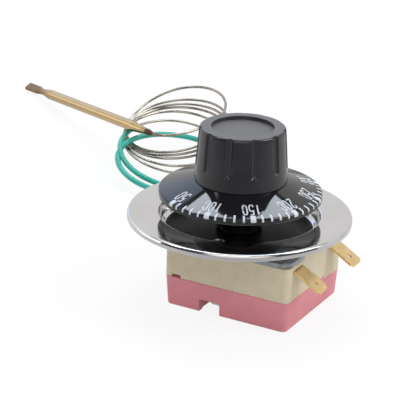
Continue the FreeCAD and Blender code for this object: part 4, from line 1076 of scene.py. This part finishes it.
class ThermostatGrip(bpy.types.Operator):
    """Moulds the fluted grip with its sunk top disc"""

    bl_idname = "thermostat.grip"
    bl_label = "Grip"

    def execute(self, context):
        values = settings().knob
        columns = values.flutes * 30
        angles = [2 * math.pi * k / columns for k in range(columns)]
        top = GRIP_HEIGHT
        edge = values.grip_edge
        floor = top - values.recess_depth
        # Rows are close together where the flutes end
        heights = [GRIP_FOOT + 0.12 * MM + i * 0.4 * MM for i in range(9)]
        heights += [20.4 * MM + i * 0.14 * MM for i in range(20)]
        heights += [23.4 * MM + i * (top - edge - 23.4 * MM) / 10 for i in range(11)]
        quarter = [math.pi / 2 * k / EDGE_STEPS for k in range(1, EDGE_STEPS + 1)]
        heights += [top - edge + edge * math.sin(turn) for turn in quarter]
        # Each row: height, radius of a plain circle, and its share against the fluted wall
        rows = [(GRIP_FOOT, values.grip_bottom - 0.12 * MM, 1)]
        rows += [(height, 0.0, 0) for height in heights]
        rows += [(top, values.recess + LIP, share) for share in (0.4, 0.75)]
        for turn in (math.pi / 2 * k / 4 for k in range(5)):
            out = LIP * (1 - math.sin(turn))
            rows.append((top - LIP * (1 - math.cos(turn)), values.recess + out, 1))
        for turn in (math.pi / 2 * k / 3 for k in range(4)):
            inwards = LIP * (1 - math.cos(turn))
            rows.append((floor + LIP * (1 - math.sin(turn)), values.recess - inwards, 1))

        def rings(work, rows, centre):
            """The rows' rings, closed by a point in the middle."""
            made = []
            for height, plain, share in rows:
                made.append([])
                for angle in angles:
                    r = grip_wall(values, angle, height) * (1 - share) + plain * share
                    made[-1].append(work.verts.new((r * math.cos(angle), r * math.sin(angle), height)))
            return made + [[work.verts.new((0, 0, centre))]]

        def build(work):
            outside = rings(work, rows, floor)
            under = rings(work, [(z * MM, r * MM, 1) for r, z in GRIP_INSIDE], GRIP_INSIDE[-1][1] * MM)
            stitch(work, outside)
            stitch(work, outside[:1] + under)

        mesh = mesh_of("grip_moulded", build)
        piece = new_piece("grip_moulded", mesh, grip_plastic(), "knob")
        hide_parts("knob_grip")
        return {"FINISHED"}


# The CAD's mesh: points nearer than this are joined, faces flatter than this are one, and edges
# that turn by more than this get a rounding
CAD_WELD = 2e-6
CAD_FLAT = math.radians(0.6)
CAD_SHARP = math.radians(28.0)


def softened(name, node, edge, finish, body):
    """A copy of a CAD node's mesh, joined up, with its sharp edges broken by a small rounding."""
    work = bmesh.new()
    work.from_mesh(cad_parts[node].data)
    bmesh.ops.remove_doubles(work, verts=work.verts, dist=CAD_WELD)
    bmesh.ops.dissolve_limit(work, angle_limit=CAD_FLAT, verts=work.verts, edges=work.edges)
    sharp = [e for e in work.edges if len(e.link_faces) == 2 and e.calc_face_angle() > CAD_SHARP]
    bmesh.ops.bevel(work, geom=sharp, offset=edge, segments=2, profile=0.5, affect="EDGES")
    bmesh.ops.recalc_face_normals(work, faces=work.faces)
    piece = new_piece(name, written(name, work), finish, body, 40.0)
    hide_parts(node)
    return piece


class ThermostatHousing(bpy.types.Operator):
    """Gives both ceramic mouldings and the bracket their broken edges and finish"""

    bl_idname = "thermostat.housing"
    bl_label = "Housing"

    def execute(self, context):
        values = settings().housing
        rows = (
            ("upper_moulding", "upper_housing", values.edge, beige_ceramic(), "beige_steatite"),
            ("base_moulding", "lower_base", values.edge, pink_ceramic(), "pink_steatite"),
            ("bracket_stamping", "mounting_bracket", values.sheet_edge, zinc_plate(), "zinc_steel"),
        )
        for name, node, edge, finish, slot in rows:
            softened(name, node, edge, finish, "housing")
        return {"FINISHED"}


class ThermostatTerminals(bpy.types.Operator):
    """Gives the two tab terminals their sheared edges and rolled brass"""

    bl_idname = "thermostat.terminals"
    bl_label = "Terminals"

    def execute(self, context):
        brass = rolled_brass()
        for side in ("front", "rear"):
            edge = settings().housing.sheet_edge
            softened("tab_" + side, "terminal_" + side, edge, brass, "housing")
        finish_node("contact_post", brass)
        return {"FINISHED"}


def slotted_screw(head_radius, head_height, shank_radius, shank_length):
    """A round headed screw standing on its head's top face, its slot along Y."""
    steps = 8
    turns = [math.pi / 2 * k / steps for k in range(steps + 1)]
    dome = 0.62 * head_height
    end = head_height + shank_length
    outline = [(head_radius * math.sin(turn), dome * (1 - math.cos(turn))) for turn in turns]
    outline += [(head_radius, head_height), (shank_radius, head_height), (shank_radius, end), (0.0, end)]
    body = mesh_of("screw", lambda work: lathe(work, outline, 40))
    half = 0.32 * MM
    deep = 0.42 * head_height
    return cut_away(body, [slab((-half, -5 * MM, -1 * MM), (half, 5 * MM, deep))])


class ThermostatScrews(bpy.types.Operator):
    """Copies the strap's two round headed screws and finishes the other screws"""

    bl_idname = "thermostat.screws"
    bl_label = "Screws"

    def execute(self, context):
        steel = machined("Screw steel, plated", "#c9c8c4", 0.22, 0.36)
        low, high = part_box("strap_screws")
        head = 1.7 * MM
        one = slotted_screw(1.95 * MM, head, 1.25 * MM, high.z - low.z - head)
        one.transform(Matrix.Translation((0, -13.6 * MM, low.z)))
        mesh = repeated(one, 2, steel, step=(0.0, 27.2 * MM, 0.0))
        piece = new_piece("strap_screw_pair", mesh, steel, "housing", 35.0)
        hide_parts("strap_screws")
        for node in ("housing_screws", "terminal_screws", "calibration_screw"):
            finish_node(node, steel)
        return {"FINISHED"}


def finish_node(node, finish):
    """Gives a CAD piece that is shown as it is its finish."""
    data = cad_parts[node].data
    data.materials.clear()
    data.materials.append(finish)


class ThermostatInside(bpy.types.Operator):
    """Finishes the spindle, its bush and the pieces inside the housing"""

    bl_idname = "thermostat.inside"
    bl_label = "Spindle and Inner Pieces"

    def execute(self, context):
        turned = machined("Turned steel", "#a9a9a8", 0.25, 0.40)
        rows = (
            (turned, ("spindle", "retaining_ring", "setting_nut", "pivot_pin", "shaft_clip")),
            (machined("Bush brass, turned", "#c9a85c", 0.22, 0.38), ("spindle_bush",)),
            (machined("Spring bronze", "#b98a55", 0.28, 0.42), ("contact_arm",)),
            (machined("Contact silver", "#dcdbd6", 0.18, 0.30), ("moving_contact", "fixed_contact")),
            (machined("Capsule steel", "#b4b3ae", 0.30, 0.45), ("pressure_capsule",)),
            (machined("Plated strap steel", "#a9aeb0", 0.35, 0.50), ("stop_washer", "capsule_strap")),
            (beige_ceramic(), ("pressure_pin",)),
        )
        for finish, nodes in rows:
            for node in nodes:
                finish_node(node, finish)
        return {"FINISHED"}


def area_lamp(name, place, target, width, height, radiance, tint):
    """A soft box: its power is worked out from the brightness of its face."""
    data = bpy.data.lights.new(name, "AREA")
    data.shape = "RECTANGLE"
    data.size = width
    data.size_y = height
    data.energy = radiance * math.pi * width * height
    data.color = tint
    lamp = placed(name, data)
    lamp.location = place
    lamp.rotation_euler = (place - target).to_track_quat("Z", "Y").to_euler()


def by_ray(tree, ray, then, otherwise):
    """One shader for one kind of ray, and another for every other ray."""
    share = add(tree, "ShaderNodeLightPath").outputs[ray]
    return add(tree, "ShaderNodeMixShader", {0: share, 1: otherwise, 2: then}).outputs[0]


def studio_white(name, base, glow, mirrored):
    """White card: white to the camera but for a soft shadow, and dimmed by place in mirrors."""
    made = bpy.data.materials.new(name)
    tree = empty_tree(made)
    place = add(tree, "ShaderNodeTexCoord").outputs["Object"]
    diffuse = add(tree, "ShaderNodeBsdfDiffuse", {"Color": base}).outputs[0]
    white = add(tree, "ShaderNodeEmission", {"Color": WHITE, "Strength": CARD_WHITE}).outputs[0]
    soft = add(tree, "ShaderNodeMixShader", {0: SHADOW_SHARE, 1: white, 2: diffuse}).outputs[0]
    # From underneath the card is clear, so that a camera below it sees the object
    clear = add(tree, "ShaderNodeBsdfTransparent").outputs[0]
    rise = along(tree, add(tree, "ShaderNodeNewGeometry").outputs["Incoming"], UP)
    below = add(tree, "ShaderNodeMath", {0: rise, 1: 0.0}, operation="LESS_THAN").outputs[0]
    pictured = add(tree, "ShaderNodeMixShader", {0: below, 1: soft, 2: clear}).outputs[0]
    lit = by_ray(tree, "Is Camera Ray", pictured, diffuse)
    dimmed = {"Color": mirrored(tree, place), "Strength": glow}
    reflected = add(tree, "ShaderNodeEmission", dimmed).outputs[0]
    add(tree, "ShaderNodeOutputMaterial", {"Surface": by_ray(tree, "Is Glossy Ray", reflected, lit)})
    return made


def room_in_mirrors(tree):
    """Over the wall the room is nearly dark, with a light screen round the camera."""
    aim = add(tree, "ShaderNodeTexCoord").outputs["Generated"]
    share = blend(tree, along(tree, aim, lamp_direction(180.0, 21.0)), 0.0, 0.75, (0.80, 0.94))
    return blend(tree, share, DARK_AIR, SCREEN, SHARE)


def floor_in_mirrors(tree, place):
    """The floor is light round the object and greyer before and behind it, where the studio's light ends."""
    depth = along(tree, place, view_directions()[1])
    near = blend(tree, depth, linear("#8c8c90"), linear("#e6e4e2"), (-0.22, 0.02))
    return blend(tree, depth, near, linear("#a09c98"), (0.14, 0.32))


def wall_in_mirrors(tree, place):
    """The wall has a bluish stretch at the left, and a low light screen beside it."""
    side = along(tree, place, view_directions()[0])
    from_blue = add(tree, "ShaderNodeMath", {0: side, 1: BLUE_PLACE}, operation="SUBTRACT").outputs[0]
    distance = add(tree, "ShaderNodeMath", {0: from_blue}, operation="ABSOLUTE").outputs[0]
    left = blend(tree, side, 1.0, 0.0, (-0.75, -0.58))
    low = blend(tree, along(tree, place, UP), 1.0, 0.0, (0.18, 0.28))
    screen = add(tree, "ShaderNodeMath", {0: left, 1: low}, operation="MULTIPLY").outputs[0]
    plain = blend(tree, screen, linear("#dcdad9"), SCREEN, SHARE)
    return blend(tree, distance, BLUE_SCREEN, plain, (0.07, 0.20))


class ThermostatStage(bpy.types.Operator):
    """Sets the white cards round the object, the lamps and the camera"""

    bl_idname = "thermostat.stage"
    bl_label = "Stage, Lamps and Camera"

    def execute(self, context):
        middle = Vector((-0.04, 0.03, 0.0))

        def floor(work):
            lathe(work, ((0.0, FLOOR_Z), (WALL_RADIUS, FLOOR_Z)), 64)

        def wall(work):
            """Only behind and beside the object; the room in front of it stays dark."""
            lathe(work, ((WALL_RADIUS, FLOOR_Z), (WALL_RADIUS, FLOOR_Z + WALL_HEIGHT)), 128)
            ahead = view_directions()[1]
            front = [f for f in work.faces if f.calc_center_median().dot(ahead) < WALL_FRONT]
            bmesh.ops.delete(work, geom=front, context="FACES")

        rows = (
            ("floor", floor, FLOOR_GLOW, floor_in_mirrors),
            ("wall", wall, WALL_GLOW, wall_in_mirrors),
        )
        for name, build, glow, mirrored in rows:
            mesh = mesh_of(name, build)
            mesh.materials.append(studio_white("Studio " + name, settings().stage.floor, glow, mirrored))
            piece = placed(name, mesh)
            # The wall would stand between the object and a camera behind it
            piece.visible_camera = build is floor
        for name, side, rise, distance, width, height, radiance, tint in LAMPS:
            place = middle + distance * lamp_direction(side, rise)
            area_lamp(name, place, middle, width, height, radiance, linear(tint))
        world = bpy.data.worlds.new("Studio air")
        tree = empty_tree(world)
        ambient, mirrored, white = [
            add(tree, "ShaderNodeBackground", {"Color": colour_value, "Strength": strength}).outputs[0]
            for colour_value, strength in ((WHITE, AMBIENT), (room_in_mirrors(tree), 1.0), (WHITE, 1.0))
        ]
        lit = by_ray(tree, "Is Glossy Ray", mirrored, ambient)
        add(tree, "ShaderNodeOutputWorld", {"Surface": by_ray(tree, "Is Camera Ray", white, lit)})
        context.scene.world = world
        context.scene.view_settings.view_transform = "Standard"
        self.camera(context)
        return {"FINISHED"}

    def camera(self, context):
        """Stands where the photograph was taken from."""
        right, ahead = view_directions()
        back = -ahead * math.cos(VIEW_ELEVATION) + UP * math.sin(VIEW_ELEVATION)
        up = back.cross(right)
        c = math.cos(VIEW_ROLL)
        s = math.sin(VIEW_ROLL)
        axes = Matrix((right * c + up * s, up * c - right * s, back)).transposed().to_4x4()
        data = bpy.data.cameras.new("camera")
        data.sensor_width = SENSOR_WIDTH
        data.lens = settings().stage.lens
        data.clip_start = 0.01
        camera = placed("camera", data)
        camera.matrix_world = Matrix.Translation(CAMERA_PLACE) @ axes
        context.scene.camera = camera


def lamp_direction(side, rise):
    """A direction by its angle right of the way that the camera looks, and its height in degrees."""
    right, ahead = view_directions()
    turn = math.radians(side)
    lift = math.radians(rise)
    level = ahead * math.cos(turn) + right * math.sin(turn)
    return level * math.cos(lift) + UP * math.sin(lift)


# A hair under the object, so that its underside isn't in the floor's plane
FLOOR_Z = TABLE_Z - 0.05 * MM
SHADOW_SHARE = 0.12
CARD_WHITE = 0.99
WALL_RADIUS = 0.95
WALL_HEIGHT = 0.88
WALL_FRONT = -0.15
FLOOR_GLOW = 1.0
WALL_GLOW = 1.15
AMBIENT = 0.42
DARK_AIR = (0.08, 0.08, 0.08)
SCREEN = (1.45, 1.42, 1.36)
BLUE_SCREEN = (0.84, 0.99, 1.28)
BLUE_PLACE = -0.38
# Soft boxes: name, degrees right of straight behind the object, degrees up, distance, width, height,
# brightness of the face, tint
LAMPS = (
    ("top soft box", 0.0, 62.0, 0.85, 0.62, 0.36, 7.0, "#e4eef8"),
    ("right soft box", 105.0, 40.0, 0.90, 0.45, 0.45, 4.6, "#fffdf8"),
    ("left soft box", -95.0, 52.0, 1.00, 0.14, 0.24, 10.0, "#e2eafc"),
    ("front soft box", 190.0, 42.0, 0.95, 0.60, 0.35, 1.8, "#fffdf8"),
)


class ThermostatSettings(bpy.types.PropertyGroup):
    knob: PointerProperty(type=KnobSettings)
    scale: PointerProperty(type=ScaleSettings)
    housing: PointerProperty(type=HousingSettings)
    capillary: PointerProperty(type=CapillarySettings)
    stage: PointerProperty(type=StageSettings)


OPERATORS = (
    ThermostatStage,
    ThermostatCapillary,
    ThermostatBezel,
    ThermostatSkirt,
    ThermostatScale,
    ThermostatGrip,
    ThermostatHousing,
    ThermostatTerminals,
    ThermostatScrews,
    ThermostatInside,
)


class ThermostatPanel(bpy.types.Panel):
    """Lists the pieces of the thermostat and their sizes and colours"""

    bl_idname = "VIEW3D_PT_thermostat"
    bl_label = "Capillary Thermostat"
    bl_space_type = "VIEW_3D"
    bl_region_type = "UI"
    bl_category = "Thermostat"

    def draw(self, context):
        for operator in OPERATORS:
            self.layout.operator(operator.bl_idname)
        for part in ThermostatSettings.__annotations__:
            group = getattr(settings(), part)
            box = self.layout.box()
            for key in group.__annotations__:
                box.prop(group, key)


CLASSES = (
    KnobSettings,
    ScaleSettings,
    HousingSettings,
    CapillarySettings,
    StageSettings,
    ThermostatSettings,
    *OPERATORS,
    ThermostatPanel,
)


def register():
    for item in CLASSES:
        bpy.utils.register_class(item)
    bpy.types.Scene.thermostat = PointerProperty(type=ThermostatSettings)


def unregister():
    del bpy.types.Scene.thermostat
    for item in reversed(CLASSES):
        bpy.utils.unregister_class(item)


def main():
    register()
    for operator in OPERATORS:
        group, name = operator.bl_idname.split(".")
        getattr(getattr(bpy.ops, group), name)()


if __name__ == "__main__":
    main()
